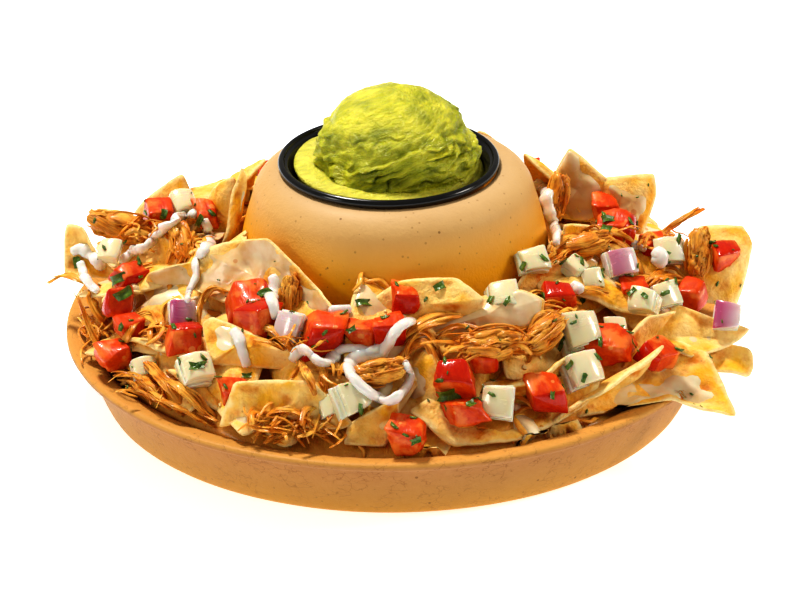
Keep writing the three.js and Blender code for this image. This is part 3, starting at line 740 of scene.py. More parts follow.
def tube(path, radii, sides=6, flat=1.0, up=(0.0, 0.0, 1.0)):
    """A closed tube along a path, with its own grain coordinates; flat squeezes it along up."""
    path = np.asarray(path, float)
    tangents = np.gradient(path, axis=0)
    tangents /= np.maximum(np.linalg.norm(tangents, axis=1), 1e-6)[:, None]
    lift = np.asarray(up, float)
    strides = np.linalg.norm(np.diff(path, axis=0), axis=1)
    lengths = np.concatenate([[0], np.cumsum(strides)])
    angles = np.arange(sides) * 2 * math.pi / sides
    points, grain = [], []
    for place, tangent, radius, length in zip(path, tangents, radii, lengths):
        side = np.cross(tangent, lift)
        side = unit(side if np.linalg.norm(side) > 1e-3 else np.cross(tangent, (1.0, 0.1, 0.0)))
        lift = unit(np.cross(side, tangent))
        ring = np.cos(angles)[:, None] * side + flat * np.sin(angles)[:, None] * lift
        points.extend(place + radius * ring)
        grain.extend(circle(angles, radius, length))
    faces = ring_faces(len(path), sides)
    start, end = len(points), len(points) + 1
    points.append(path[0] - tangents[0] * radii[0] * TUBE_TIP)
    points.append(path[-1] + tangents[-1] * radii[-1] * TUBE_TIP)
    grain += [(0, 0, 0), (0, 0, lengths[-1])]
    last = (len(path) - 1) * sides
    for j in range(sides):
        k = (j + 1) % sides
        faces += [(start, k, j), (end, last + j, last + k)]
    return np.array(points), flipped(faces), np.array(grain) * MM


# %% Tables and surfaces
def look_up(table, at):
    """A value between the rows of a table of [place, value]."""
    return float(np.interp(at, *zip(*table)))


def joined(pieces):
    """The points and faces of several pieces as one mesh, in metres."""
    points, faces = [], []
    for made in pieces:
        first = len(points)
        points.extend(vertex.co for vertex in made.data.vertices)
        faces.extend([index + first for index in face.vertices] for face in made.data.polygons)
    return points, faces


def surface_of(pieces):
    """One search tree over several pieces, in millimetres."""
    points, faces = joined(pieces)
    return BVHTree.FromPolygons([place / MM for place in points], faces)


# %% [markdown]
# ## The platter
#
# The platter is one moulding, so it is a turned profile: the upper face from the hole in the
# pedestal over its soft shoulder, down into the tray, out over the rim, and back along the
# underside. Cutting the profile's corners gives the soft edges of pressed fibre. A slow
# unevenness keeps the circle from looking machined.

# %% Platter
RIM_RADIUS = 140.0
RIM_HEIGHT = 31.0
RIM_INNER_RADIUS = 128.0
BASE_RADIUS = 122.0
FLOOR_RADIUS = 118.0
TRAY_DEPTH = 5.0
WALL = 3.0
PEDESTAL_FOOT_RADIUS = 74.0
PEDESTAL_TOP = 101.0
PEDESTAL_TOP_RADIUS = 46.0
PEDESTAL_BEND = (64.4, 72.0)
SHOULDER_RADIUS = 13.5
HOLE_RADIUS = 43.3
PLATTER_SIDES = 200


def corner(radius, height, size, start, end, steps):
    """Points on a round corner of a profile, between two directions in degrees."""
    angles = np.radians(np.linspace(start, end, steps))
    return [(radius + size * math.cos(a), height + size * math.sin(a)) for a in angles]


shoulder = (PEDESTAL_TOP_RADIUS, PEDESTAL_TOP - SHOULDER_RADIUS)
platter_profile = [
    (HOLE_RADIUS + 0.2, PEDESTAL_TOP - 0.3),
    *corner(*shoulder, SHOULDER_RADIUS, 88, 12, 8),
    PEDESTAL_BEND,
    (PEDESTAL_BEND[0] + 2.2, 54),
    (PEDESTAL_FOOT_RADIUS - 4.5, RIM_HEIGHT + 1),
    (PEDESTAL_FOOT_RADIUS, 2 * TRAY_DEPTH),
    (PEDESTAL_FOOT_RADIUS + 8, TRAY_DEPTH),
    (FLOOR_RADIUS - 8, TRAY_DEPTH),
    (FLOOR_RADIUS + 2, TRAY_DEPTH + 3.5),
    (RIM_INNER_RADIUS, RIM_HEIGHT - 3.5),
    (RIM_INNER_RADIUS + 2, RIM_HEIGHT - 1.4),
    (RIM_RADIUS - 6, RIM_HEIGHT - 0.5),
    (RIM_RADIUS - 1.6, RIM_HEIGHT + 0.3),
    (RIM_RADIUS + 0.2, RIM_HEIGHT - 0.6),
    (RIM_RADIUS, RIM_HEIGHT - 3),
    (RIM_RADIUS - 4, RIM_HEIGHT - 4),
    (BASE_RADIUS + 11.4, RIM_HEIGHT - 6),
    (BASE_RADIUS + 3.8, TRAY_DEPTH - 1),
    (BASE_RADIUS, 0),
    (BASE_RADIUS - 4, 0),
    (PEDESTAL_FOOT_RADIUS + 6, 0),
    (PEDESTAL_FOOT_RADIUS - 2.5, TRAY_DEPTH),
    (PEDESTAL_FOOT_RADIUS - 4.5 - WALL, RIM_HEIGHT - 1),
    (PEDESTAL_BEND[0] - WALL, PEDESTAL_BEND[1]),
    *corner(*shoulder, SHOULDER_RADIUS - WALL, 12, 88, 6),
    (HOLE_RADIUS + 0.2, PEDESTAL_TOP - WALL),
]
platter = Batch()
platter.add(*lathe(softened(platter_profile, 2)[::-1], PLATTER_SIDES, unevenness=0.35, seed=1))
platter.piece("fibre_platter", platter_fibre, ["platter"], sharp=70)

# %% [markdown]
# ## Clear of the platter
#
# Food that noise has moved must not reach through the dish. Each point is held between the
# pedestal and the wall of the tray, over its floor, and over the rim where it hangs past it.

# %% Clear of the platter
# Radius of the pedestal and of the tray's wall by height: [height, radius].
PEDESTAL_WALL = [
    (5, 82), (7, 75.5), (10, 74), (32, 69.5), (54, 66.6),
    (72, 64.4), (88, 59.7), (96, 56), (101, 48),
]
TRAY_WALL = [(5, 110), (8.5, 120), (27.5, 128), (31, 138)]
CLEARANCE = 0.5


def clear_of_platter(points):
    """Moves food that would reach into the platter out to its surface."""
    points = np.array(points, float)
    radius = np.maximum(np.linalg.norm(points[:, :2], axis=1), 1e-6)
    inner = np.interp(points[:, 2], *zip(*PEDESTAL_WALL), right=0.0) + CLEARANCE
    outer = np.interp(points[:, 2], *zip(*TRAY_WALL), right=1e3) - CLEARANCE
    outer[radius > RIM_RADIUS + CLEARANCE] = 1e3
    points[:, :2] *= (np.minimum(np.maximum(radius, inner), outer) / radius)[:, None]
    points[:, 2] = np.maximum(points[:, 2], TRAY_DEPTH + CLEARANCE)
    over_rim = (radius > RIM_INNER_RADIUS - 1) & (radius < RIM_RADIUS + 1)
    points[over_rim, 2] = np.maximum(points[over_rim, 2], RIM_HEIGHT + 0.3 + CLEARANCE)
    return points


# %% [markdown]
# ## The dip cup
#
# A thin black tub. Its rim is a rolled bead with a fine step inside it, and the bead carries
# the bright line of the lamp, so the profile is turned with many steps round.

# %% Dip cup
CUP_OFFSET = np.array([-2.0, 0.0, 0.0])
CUP_SIDES = 160
CUP_BEAD_RADIUS = 46.5
CUP_BEAD_TOP = 104.8
CUP_BOTTOM = 56.0
CUP_MOUTH_RADIUS = 41.0
CUP_FOOT_RADIUS = 35.0
CUP_WALL = 1.1
CUP_MIDDLE = 0.4
flange = PEDESTAL_TOP + 0.4
cup_profile = [
    (CUP_MIDDLE, CUP_BOTTOM),
    (CUP_FOOT_RADIUS, CUP_BOTTOM),
    (CUP_MOUTH_RADIUS, flange),
    (CUP_BEAD_RADIUS - 0.9, flange),
    (CUP_BEAD_RADIUS + 0.1, flange + 0.9),
    (CUP_BEAD_RADIUS + 0.1, CUP_BEAD_TOP - 1),
    (CUP_BEAD_RADIUS - 1, CUP_BEAD_TOP + 0.1),
    (CUP_BEAD_RADIUS - 2.3, CUP_BEAD_TOP + 0.1),
    (CUP_BEAD_RADIUS - 2.8, CUP_BEAD_TOP - 1.5),
    (CUP_BEAD_RADIUS - 3.9, CUP_BEAD_TOP - 1.7),
    (CUP_BEAD_RADIUS - 4.5, CUP_BEAD_TOP - 2.6),
    (CUP_MOUTH_RADIUS - CUP_WALL, flange - 1.4),
    (CUP_FOOT_RADIUS - CUP_WALL, CUP_BOTTOM + CUP_WALL),
    (CUP_MIDDLE, CUP_BOTTOM + CUP_WALL),
]
cup = Batch()
cup_points, cup_faces = lathe(softened(cup_profile, 2)[::-1], CUP_SIDES)
cup.add(cup_points + CUP_OFFSET, cup_faces)
cup.piece("dip_cup", cup_black, ["cup"], sharp=50)

# %% [markdown]
# ## The guacamole
#
# One scoop stands in a smeared puddle that reaches the cup's wall. The surface is a dense net
# of rings, from the cup's floor up to the top. The scoop drags long folds over it, so the
# relief is noise in slanted, stretched coordinates: broad folds, then finer smears.

# %% Guacamole: the plain shape
SCOOP_TOP = 136.0
SCOOP_RADIUS = 34.8
SCOOP_OFFSET = 4.2
SCOOP_ROUNDNESS = 2.3
SCOOP_RINGS = 130
AROUND_SCOOP = 360
MASH_BOTTOM = CUP_BOTTOM + 1.5
PUDDLE_LEVEL = 101.0
PUDDLE_REACH = 39.4
PUDDLE_RINGS = 9
# How much room the relief takes, outwards and upwards.
RELIEF_REACH, RELIEF_RISE = 1.8, 1.3

angles = np.linspace(0, 2 * math.pi, AROUND_SCOOP, endpoint=False)
puddle = PUDDLE_LEVEL - 2.2 * np.cos(angles) + 0.7 * np.sin(3 * angles)
below_puddle = [
    (0.5, MASH_BOTTOM), (33.2, MASH_BOTTOM),
    (38.9, puddle - 2.6), (39.9, puddle - 0.8), (39.8, puddle),
]
rings = [circle(angles, radius, height) for radius, height in below_puddle]
for share in np.linspace(0, 1, PUDDLE_RINGS):
    inner = PUDDLE_REACH * (1 - share) + share * (SCOOP_RADIUS - 1.5)
    ring = circle(angles, inner, puddle + 0.5 + 1.1 * math.sin(math.pi * share * 0.8))
    ring[:, 0] += SCOOP_OFFSET * share
    rings.append(ring)
for step in range(SCOOP_RINGS + 1):
    rise = math.sin(math.pi / 2 * step / SCOOP_RINGS)
    round_in = math.sqrt(1 - min(rise, 0.9993) ** SCOOP_ROUNDNESS)
    fold = 1 + 0.03 * np.sin(2 * angles + 9 * rise) * (1 - rise)
    fold = fold + 0.02 * np.sin(5 * angles - 7 * rise)
    radius = (SCOOP_RADIUS - RELIEF_REACH) * round_in * fold
    height = PUDDLE_LEVEL + 0.6 + (SCOOP_TOP - RELIEF_RISE - PUDDLE_LEVEL) * rise
    ring = circle(angles, radius, height)
    ring[:, 0] += SCOOP_OFFSET - 2 * rise
    rings.append(ring)
points = np.concatenate(rings)

# %% Guacamole: folds and smears
SMEAR_SLANT = math.radians(-20)
FOLD_SPACING = 4.6
# Heights of the relief, from the broad folds to the finest smear.
BROAD_HEIGHT, FINER_HEIGHT, TORN_HEIGHT, FOLD_HEIGHT = 1.2, 0.9, 0.9, 1.9
LUMP_HEIGHT, FINEST_HEIGHT = 1.2, 0.5
# The top of the scoop is calm, from this height on.
CALM_FROM, CALM_RISE = 116, 12

ring_numbers = np.repeat(np.arange(len(rings)), AROUND_SCOOP)
above_wall = ring_numbers >= len(below_puddle)
freed = np.clip((ring_numbers - 7) / 6, 0.15, 1) * above_wall
outward = points - (SCOOP_OFFSET, 0, PUDDLE_LEVEL)
outward /= np.maximum(np.linalg.norm(outward, axis=1), 1e-6)[:, None]
bent = points @ turn_about(1, SMEAR_SLANT).T
bent[:, 2] += 3.5 * wave(points, 22.0, 3)
broad = wave(bent * (0.28, 0.5, 1.0), 6.0, 5)
finer = wave(bent * (0.2, 0.4, 1.0), 2.4, 6)
finest = wave(bent * (0.5, 0.7, 1.0), 1.9, 26)
torn = 0.5 - 2 * np.abs(wave(bent * (0.45, 0.6, 1.0), 4.2, 8))
lumps = wave(points, 13.0, 7)
calm = np.clip((points[:, 2] - CALM_FROM) / CALM_RISE, 0, 0.93)
# Folds lie over each other like scales: each steps out sharply and fades as it rises.
level = bent[:, 2] / FOLD_SPACING + 1.2 * wave(points, 11.0, 21) + 0.5 * wave(points, 4.5, 22)
rise_in_fold = level - np.floor(level)
fold_shape = np.minimum(rise_in_fold / 0.1, (1 - rise_in_fold) / 0.9)
fold_depth = np.clip(0.55 + 1.7 * wave(points * (0.7, 0.7, 1.2), 9.0, 23), 0, 1.3)
crease_below, crease_above = ((1 - rise_in_fold) / 0.12) ** 2, (rise_in_fold / 0.07) ** 2
under_fold = (np.exp(-crease_below) + np.exp(-crease_above)) * fold_depth
relief = BROAD_HEIGHT * np.clip(broad, -1, 0.3) + FINER_HEIGHT * finer + TORN_HEIGHT * torn
relief = relief + FOLD_HEIGHT * fold_shape * fold_depth
relief = relief * (1 - calm) + LUMP_HEIGHT * lumps + FINEST_HEIGHT * finest
points = points + outward * (relief * freed)[:, None]

# %% Guacamole: its masks
hubs = [(0, 0, MASH_BOTTOM), points[-AROUND_SCOOP:].mean(0)]
points, sides = closed_rings(points.reshape(len(rings), AROUND_SCOOP, 3), hubs)
bent = np.concatenate([bent, bent[-2:]])
height_share = (points[:, 2] - PUDDLE_LEVEL) / (SCOOP_TOP - PUDDLE_LEVEL)
left_share = -points[:, 0] / SCOOP_RADIUS
# The puddle is pale. The top of the scoop, most of all on its upper left, is painted paler:
# painted light from the lamp above and behind.
in_puddle = np.clip((17 - np.append(ring_numbers, [0, 99])) / 4, 0, 1)
lit_scoop_top = 0.7 * np.clip(height_share - 0.6, 0, 1)
lit_scoop_left = 0.55 * np.clip(height_share - 0.35, 0, 1) * np.clip(0.35 + left_share, 0, 1)
ripe = 0.2 + 0.62 * in_puddle + lit_scoop_top + lit_scoop_left
ripe += 0.25 * wave(points, 11.0, 9) * (1 - 0.6 * in_puddle)
# Creases under each fold are marked for painted shade.
creases = np.clip(1.1 * under_fold - 0.4 * broad - 0.4 * torn - 0.25 * finer, 0, 1)
sunk = np.append(creases * freed * (1 - calm), [0, 0]) * np.clip(height_share * 12 - 0.6, 0, 1)
guacamole = Batch("smear", "ripe", "sunk")
guacamole.add(points + CUP_OFFSET, sides, smear=bent * MM, ripe=np.clip(ripe, 0, 1), sunk=sunk)
guacamole.piece("guacamole_scoop", mashed_avocado, ["guacamole"])

# %% [markdown]
# ## The bed of the heap
#
# Under the chips that show lies a bed of crushed chips and sauced meat. It is a ring with
# the height of the heap at every turn, high against the pedestal and low at the rim. What is
# finer than a chip is relief here. It shows only as dark depth between the pieces, and its
# finish is a darker copy of the chicken's: painted shade.

# %% Bed of the heap
# Height by radius; how much fuller each side is by degrees round; how far that reaches in.
CORE_SLOPE = [
    (60, 73), (66, 70), (75, 65), (85, 60), (95, 56), (105, 50), (115, 42), (123, 34), (128, 29),
]
SIDE_FULLNESS = [
    (0, 16), (25, 16), (60, 2), (120, 2), (145, 14),
    (185, 14), (208, 0), (322, 0), (345, 11), (360, 16),
]
FULLNESS_REACH = [(60, 0.1), (80, 0.25), (100, 0.6), (118, 1), (130, 0.8)]


def core_height(radius, angle):
    """Height of the bed at a radius and an angle round the dish."""
    turn = math.degrees(angle) % 360
    swells = 1.6 * math.sin(5 * angle + radius / 9) + 1.2 * math.sin(11 * angle - radius / 7)
    fuller = look_up(SIDE_FULLNESS, turn) * look_up(FULLNESS_REACH, radius)
    return look_up(CORE_SLOPE, radius) + fuller + swells


BED_AROUND = 260
BED_TOP_RINGS = 32
BED_BELOW = [(77, 12), (84, 6), (112, 7), (121, 16), (126.4, 25)]
BED_INSIDE = (71.5, 32)
# How far the loose bed lies below the height that the chips on it reach.
BED_DROP = [(70, 6), (85, 9), (98, 11), (112, 8), (124, 4)]
# At the rim the bed starts below the lip, and it rises from there no steeper than this.
BED_EDGE_RADIUS = 126
BED_EDGE_HEIGHT = 27
BED_SLOPE = 1.3

bed_angles = np.linspace(0, 2 * math.pi, BED_AROUND, endpoint=False)
bed_rings = [circle(bed_angles, radius, height) for radius, height in BED_BELOW]
for radius in np.linspace(125, 70, BED_TOP_RINGS):
    drop = look_up(BED_DROP, radius)
    steepest = BED_EDGE_HEIGHT + BED_SLOPE * (BED_EDGE_RADIUS - radius)
    heights = [min(core_height(radius, angle) - drop, steepest) for angle in bed_angles]
    bed_rings.append(circle(bed_angles, radius, heights))
bed_rings.append(circle(bed_angles, *BED_INSIDE))
bed_points = np.concatenate(bed_rings)

# The top is rough, but for the front of the rim, which cheese has smeared.
rough = np.zeros(len(bed_points))
rough[len(BED_BELOW) * BED_AROUND : -BED_AROUND] = 1
at_rim = np.clip((np.linalg.norm(bed_points[:, :2], axis=1) - 106) / 8, 0, 0.8)
at_front = np.clip((-bed_points[:, 1] - 50) / 30, 0, 1)
relief = 2.2 * wave(bed_points, 9.0, 11) + 1.2 * wave(bed_points, 3.5, 12) - 1.0
bed_points[:, 2] += rough * (1 - at_rim * at_front) * relief
bed_points = clear_of_platter(bed_points)
bed = Batch("grain")
bed_faces = ring_faces(len(bed_rings), BED_AROUND, looped=True)
bed.add(bed_points, bed_faces, grain=bed_points[:, [0, 2, 1]] * MM)
bed_piece = bed.piece("heap_bed", shaded_bed_meat)

# %% [markdown]
# ## Tortilla chips
#
# A chip is cut from a flat tortilla and buckles in the fryer: thin, bowed one way, wavy at
# the edge, with blisters. Each is drawn from its corners as rings from the middle out, on an
# upper and a lower face, closed by a soft edge. The toast mask browns the tops of the blisters
# and patches near the edge, and it paints the rim pale as painted light.

# %% Tortilla chips
CHIP_THICKNESS = 2.0
# How far a side bulges out: on a whole chip, and on one with five corners or more.
CHIP_BELLY = 0.12
SHARD_BELLY = 0.03
CHIP_RINGS = 11
SIDE_STEPS = 13
# Heights of a chip's wavy edge, of its slow and its quick curl, and of its blisters.
EDGE_WAVE = 1.2
SLOW_CURL, QUICK_CURL = 2.8, 0.9
BLISTER_HEIGHT = 2.6
# The outermost ring is thinner, and a rounded edge stands out from it.
THIN_EDGE = 0.62
ROUND_EDGE = 0.5
# How brown a chip is all over, on its edge and in its middle, from 0 to 1. The edge value is
# low, so the rim is painted pale: painted light.
PLAIN_TOAST, EDGE_TOAST, MIDDLE_TOAST = 0.31, 0.1, 0.35
TOAST_PATCHES = 0.22
# A coat of cheese: how thick it is, how deep it starts and how deep its floor lies.
COAT_THICKNESS = 1.55
COAT_SINK = 0.7
COAT_FLOOR = 0.2
COAT_RINGS = 16
# Each chip is its bow and its corners.
CHIPS = [
    (3, [(-91, 42, 80), (-113, 50, 58), (-97, 44, 52), (-84, 44, 56)]),
    (2, [(-67, 19, 88), (-77, 29, 78), (-78, 24, 62), (-69, 16, 66)]),
    (-2, [(-64, 14, 94), (-63, 12, 88), (-67, 14, 62), (-74, 6, 62)]),
    (2, [(-140, 16, 68), (-132, 13, 68), (-126, 4, 58), (-117, 6, 48), (-140, 7, 50)]),
    (3, [(-110, 7, 62), (-96, 1, 68), (-92, -10, 62), (-105, -16, 54)]),
    (3, [(-106, -20, 54), (-101, -21, 62), (-84, -27, 70), (-78, -36, 56), (-99, -32, 47)]),
    (4, [
        (-80, -29, 76), (-66, -30, 80), (-51, -44, 87), (-24, -78, 70), (-52, -62, 60),
        (-85, -36, 62),
    ]),
    (-2, [(-9, -71, 72), (3, -68, 79), (25, -68, 80), (36, -77, 74), (31, -74, 60), (0, -75, 60)]),
    (-4, [(3, -79, 58), (34, -66, 70), (51, -68, 74), (61, -69, 70), (58, -73, 60), (22, -77, 56)]),
    (-3, [
        (-79, -67, 60), (-74, -67, 63), (-63, -77, 62), (-41, -90, 58), (-40, -90, 50),
        (-72, -80, 48), (-75, -82, 50),
    ]),
    (-3, [
        (-72, -110, 34), (-64, -103, 52), (-34, -110, 54), (-18, -116, 38), (-24, -116, 36),
        (-57, -108, 36),
    ]),
    (2, [(-19, -116, 38), (1, -118, 51), (0, -116, 40), (-5, -124, 32), (-21, -122, 32)]),
    (2, [(-114, -51, 43), (-86, -69, 49), (-78, -75, 46), (-92, -54, 44)]),
    (2, [(-94, -78, 44), (-78, -93, 38), (-70, -95, 33), (-78, -80, 38)]),
    (1, [(-134, -2, 46), (-126, -8, 44), (-127, -22, 33), (-118, -18, 38)]),
    (-2, [(3, -85, 56), (16, -92, 58), (23, -106, 44), (13, -108, 36), (2, -98, 40)]),
    (-5, [
        (6, -114, 42), (23, -123, 31), (50, -117, 31), (77, -96, 35), (83, -89, 44), (50, -92, 46),
        (18, -100, 44),
    ]),
    (2, [
        (60, -107, 30), (85, -97, 42), (109, -80, 55), (104, -76, 42), (84, -86, 30),
        (66, -98, 24),
    ]),
    (-2, [(42, -105, 46), (56, -99, 50), (73, -87, 53), (66, -84, 44), (50, -96, 42)]),
    (3, [
        (73, -98, 31), (90, -66, 44), (110, -50, 44), (129, -62, 42), (139, -90, 25),
        (113, -85, 32),
    ]),
    (1, [(108, -46, 42), (147, -47, 36), (146, -59, 30), (112, -58, 36)]),
    (3, [(118, -41, 54), (147, -45, 44), (143, -47, 41), (122, -64, 41), (104, -52, 42)]),
    (2, [(93, -76, 50), (105, -62, 58), (116, -56, 58), (108, -58, 44), (96, -66, 42)]),
    (-3, [(129, -2, 72), (147, 1, 70), (151, -4, 64), (144, -18, 42), (116, -14, 46)]),
    (2, [(76, 37, 92), (69, 39, 78), (72, 30, 62), (90, 28, 62), (91, 30, 80)]),
    (-3, [(87, 30, 80), (111, 35, 80), (112, 30, 72), (106, 22, 58), (90, 26, 60)]),
    (1, [(50, -49, 64), (57, -43, 74), (74, -38, 72), (66, -38, 60)]),
    (1, [(72, -9, 76), (87, -3, 72), (82, -8, 62), (72, -8, 64)]),
]


def leaning_chip(radius, angle, height, lean, roll, spin, side):
    """Corners of a three-cornered chip that leans against the pedestal."""
    across = unit(np.array([-math.sin(angle), math.cos(angle), math.tan(roll)]))
    inwards = -np.array([math.cos(angle), math.sin(angle), 0.0])
    up = inwards * math.cos(lean) + (0, 0, math.sin(lean))
    middle = (0, 0, height) - radius * inwards
    turns = [spin + 2 * math.pi * n / 3 for n in range(3)]
    return [middle + side * (across * math.cos(turn) + up * math.sin(turn)) for turn in turns]


# Rows of chips behind the pedestal: radius, how they lean, how many; and their sector.
FAR_ROWS = [(84, 56, 6), (107, 30, 8)]
FAR_START, FAR_SPREAD = 24, 130
FAR_BOW = 4
# Rows of lower chips: radius, how many, how far they sink, how they lean, how large they are.
LOWER_ROWS = [(80, 11, 4, 34, 24), (93, 15, 7, 32, 24), (105, 19, 8, 24, 21), (115, 20, 7, 16, 19)]


def far_chips():
    """Chips behind the pedestal lean in rows against it and on each other."""
    random = seeded(2203)
    chips = []
    for radius, lean, count in FAR_ROWS:
        for k in range(count):
            turn = FAR_START + FAR_SPREAD * (k + 0.5) / count + 6 * (random() - 0.5)
            angle = math.radians(turn)
            slope = math.radians(lean + 14 * (random() - 0.5))
            spin = 2 * math.pi * random()
            height = core_height(radius, angle) + 1.5
            corners = leaning_chip(radius, angle, height, slope, 0, spin, 27 + 6 * random())
            chips.append((FAR_BOW, corners))
    return chips


def filling_chips():
    """Chips of the lower layers, which show between the ones on top."""
    random = seeded(77)
    chips = []
    for radius, count, sink, lean, side in LOWER_ROWS:
        for k in range(count):
            angle = math.radians(360 * (k + 0.7 * (random() - 0.5)) / count)
            height = core_height(radius, angle) - sink + 2 * random()
            slope = math.radians(lean + 26 * (random() - 0.5))
            roll = math.radians(40 * (random() - 0.5))
            spin, size = 2 * math.pi * random(), side + 5 * random()
            corners = leaning_chip(radius, angle, height, slope, roll, spin, size)
            chips.append((3 + 3 * random(), corners))
    return chips


class Chip:
    """The bowed, wavy middle surface of one chip."""

    def __init__(self, corners, bow, seed, rings=CHIP_RINGS, steps=SIDE_STEPS):
        tips = np.array(corners, float)
        ahead = np.roll(tips, -1, axis=0)
        self.rings, self.bow, self.seed = rings, bow, seed
        self.centre = tips.mean(0)
        self.normal = unit(np.cross(tips, ahead).sum(0))
        belly = CHIP_BELLY if len(tips) < 5 else SHARD_BELLY
        outline = []
        for tip, following in zip(tips, ahead):
            for t in np.arange(steps) / steps:
                reach = tip + (following - tip) * t - self.centre
                outline.append(reach * (1 + belly * math.sin(math.pi * t)))
        outline = np.array(outline)
        outline = (np.roll(outline, 1, axis=0) + 2 * outline + np.roll(outline, -1, axis=0)) / 4
        ragged = 1 + 0.02 * wave(outline, 7.0, seed) + 0.012 * wave(outline, 2.6, seed + 3)
        self.outline = outline * ragged[:, None]
        self.around = len(outline)
        self.phase = 2 * math.pi * seeded(seed)()

    def surface(self, share):
        """The ring of middle points at a share of the way out, before blisters."""
        steps = np.arange(self.around) / self.around
        edge_wave = EDGE_WAVE * np.sin(4 * math.pi * steps + self.phase)
        points = self.centre + self.outline * share
        points += np.outer(self.bow * (1 - share**1.7) + edge_wave * share**2, self.normal)
        curl = SLOW_CURL * wave(points, 19.0, self.seed)
        curl += QUICK_CURL * wave(points, 7.0, self.seed + 5)
        return points + np.outer(curl, self.normal)

    def blisters(self, points, share):
        """How far a blister lifts the face at each point of a ring, less at the edge."""
        swollen = np.clip(wave(points, 6.5, self.seed + 8) - 0.18, 0, 1) * BLISTER_HEIGHT
        return swollen * min(1, 3 * (1 - share) + 0.25)

    def mesh(self):
        """The chip as a closed shape, and how brown it is at each point."""
        upper, lower, toast = [], [], []
        for share in np.linspace(0, 1, self.rings + 1)[1:] ** 0.85:
            middle = self.surface(share)
            lift = self.blisters(middle, share)
            half = CHIP_THICKNESS / 2 * (1.0 if share < 0.97 else THIN_EDGE)
            upper.append(middle + np.outer(half + lift, self.normal))
            lower.append(middle + np.outer(lift * 0.5 - half, self.normal))
            # The outer tenth of the chip is made paler: painted light on its rim.
            brown = PLAIN_TOAST - np.clip((share - 0.9) * 5, 0, 0.36)
            brown = brown + np.clip(lift * 0.55, 0, 0.6)
            brown += np.clip(wave(middle, 4.5, self.seed + 10) - 0.2, 0, 1) * share**4
            patches = TOAST_PATCHES * wave(middle, 9.0, self.seed + 9)
            toast.append(np.clip(brown + patches, 0, 1))
        outwards = self.outline / np.linalg.norm(self.outline, axis=1)[:, None]
        edge = self.surface(1.0) + outwards * ROUND_EDGE
        hubs = [upper[0].mean(0), lower[0].mean(0)]
        points, faces = closed_rings(upper + [edge] + lower[::-1], hubs)
        edge_toast = np.full(self.around, EDGE_TOAST)
        brown = [*toast, edge_toast, *toast[::-1], [MIDDLE_TOAST, MIDDLE_TOAST]]
        return points, flipped(faces), np.concatenate(brown)

    def coat(self, towards, amount, seed):
        """A layer of melted cheese on one face: thick where it covers, else inside the chip."""
        side = 1 if np.dot(self.normal, towards) > 0 else -1
        over, under = [], []
        for share in np.linspace(0, 0.97, COAT_RINGS)[1:]:
            middle = self.surface(share)
            cover = wave(middle, 17.0, seed) * 0.55 + wave(middle, 6.0, seed + 1) * 0.2
            cover = np.clip((cover + amount - 0.55 * share**3) * 3.2, 0, 1)
            level = CHIP_THICKNESS / 2 - COAT_SINK + cover * COAT_THICKNESS
            height = level + side * self.blisters(middle, share)
            over.append(middle + np.outer(side * height, self.normal))
            inside = np.full(self.around, side * COAT_FLOOR)
            under.append(middle - np.outer(inside, self.normal))
        points, faces = closed_rings(over + under[::-1], [over[0].mean(0), under[0].mean(0)])
        return points, flipped(faces) if side > 0 else faces


def chips_of(layer, name):
    """All chips of one layer as one piece."""
    chips = Batch("toast")
    for chip in layer:
        points, faces, toast = chip.mesh()
        chips.add(clear_of_platter(points), faces, toast=toast)
    return chips.piece(name, corn_chip)


top_chips = [
    Chip(corners, bow, index + 1) for index, (bow, corners) in enumerate(CHIPS + far_chips())
]
chips_piece = chips_of(top_chips, "tortilla_chips")

# %% The lower layers
# A chip of the lower layers sinks until it hides no chip of the top layer.
SINK_STEP = 3
SINK_TRIES = 6
SIGHT = 90


def hides_top_layer(chip, surface):
    """Whether a chip stands in front of the top layer, as the camera sees it."""
    starts = [Vector(place) - camera_back * 3 for place in chip.surface(0.8)[::3]]
    hidden = [surface.ray_cast(start, -camera_back, SIGHT)[0] is not None for start in starts]
    return sum(hidden) > 0.1 * len(hidden)


top_surface = surface_of([chips_piece])
low_chips = []
for index, (bow, corners) in enumerate(filling_chips()):
    for tries in range(SINK_TRIES):
        lowered = [corner - (0, 0, SINK_STEP * tries) for corner in corners]
        chip = Chip(lowered, bow, len(top_chips) + index + 1, rings=6, steps=9)
        if not hides_top_layer(chip, top_surface):
            low_chips.append(chip)
            break
print("lower chips kept:", len(low_chips))
low_chips_piece = chips_of(low_chips, "lower_chips")

# %% [markdown]
# ## Melted cheese
#
# Cheese sauce was ladled over some chips. Each coat follows its chip's own face, raised
# where the sauce lies, and it sinks inside the chip elsewhere, so its border is soft and
# rounded.

# %% Melted cheese
# Which chips wear cheese, and how much of the face it covers.
COATED = {
    5: 0.35, 6: 0.5, 8: 0.5, 9: 0.3, 15: 0.25, 16: 0.1, 19: 0.25, 24: 0.45, 25: 0.1, 2: 0.2,
    21: 0.0, 30: 0.2, 33: 0.1, 36: 0.3, 39: 0.2,
}
OILY_COATS = {5: 0.1, 6: 0.15, 15: 0.3, 19: 0.8, 24: 0.5, 25: 0.6}

all_chips = top_chips + low_chips
every_third = range(len(top_chips), len(all_chips), 3)
COATED.update({index: 0.1 + 0.25 * math.sin(index) ** 2 for index in every_third})
cheese = Batch("milky")
for index, amount in COATED.items():
    chip = all_chips[index]
    # On the near chips the coat is on the face that shows, and elsewhere on the upper one.
    facing = np.array(camera_back)
    if index >= len(CHIPS):
        facing = chip.centre * (1, 1, 0) / 100 + (0, 0, 1)
    points, faces = chip.coat(facing, amount, 20 + index)
    milky = OILY_COATS.get(index, 0.5 + 0.5 * math.sin(3 * index) ** 2)
    cheese.add(clear_of_platter(points), faces, milky=np.full(len(points), milky))
cheese_piece = cheese.piece("cheese_coats", melted_cheese)

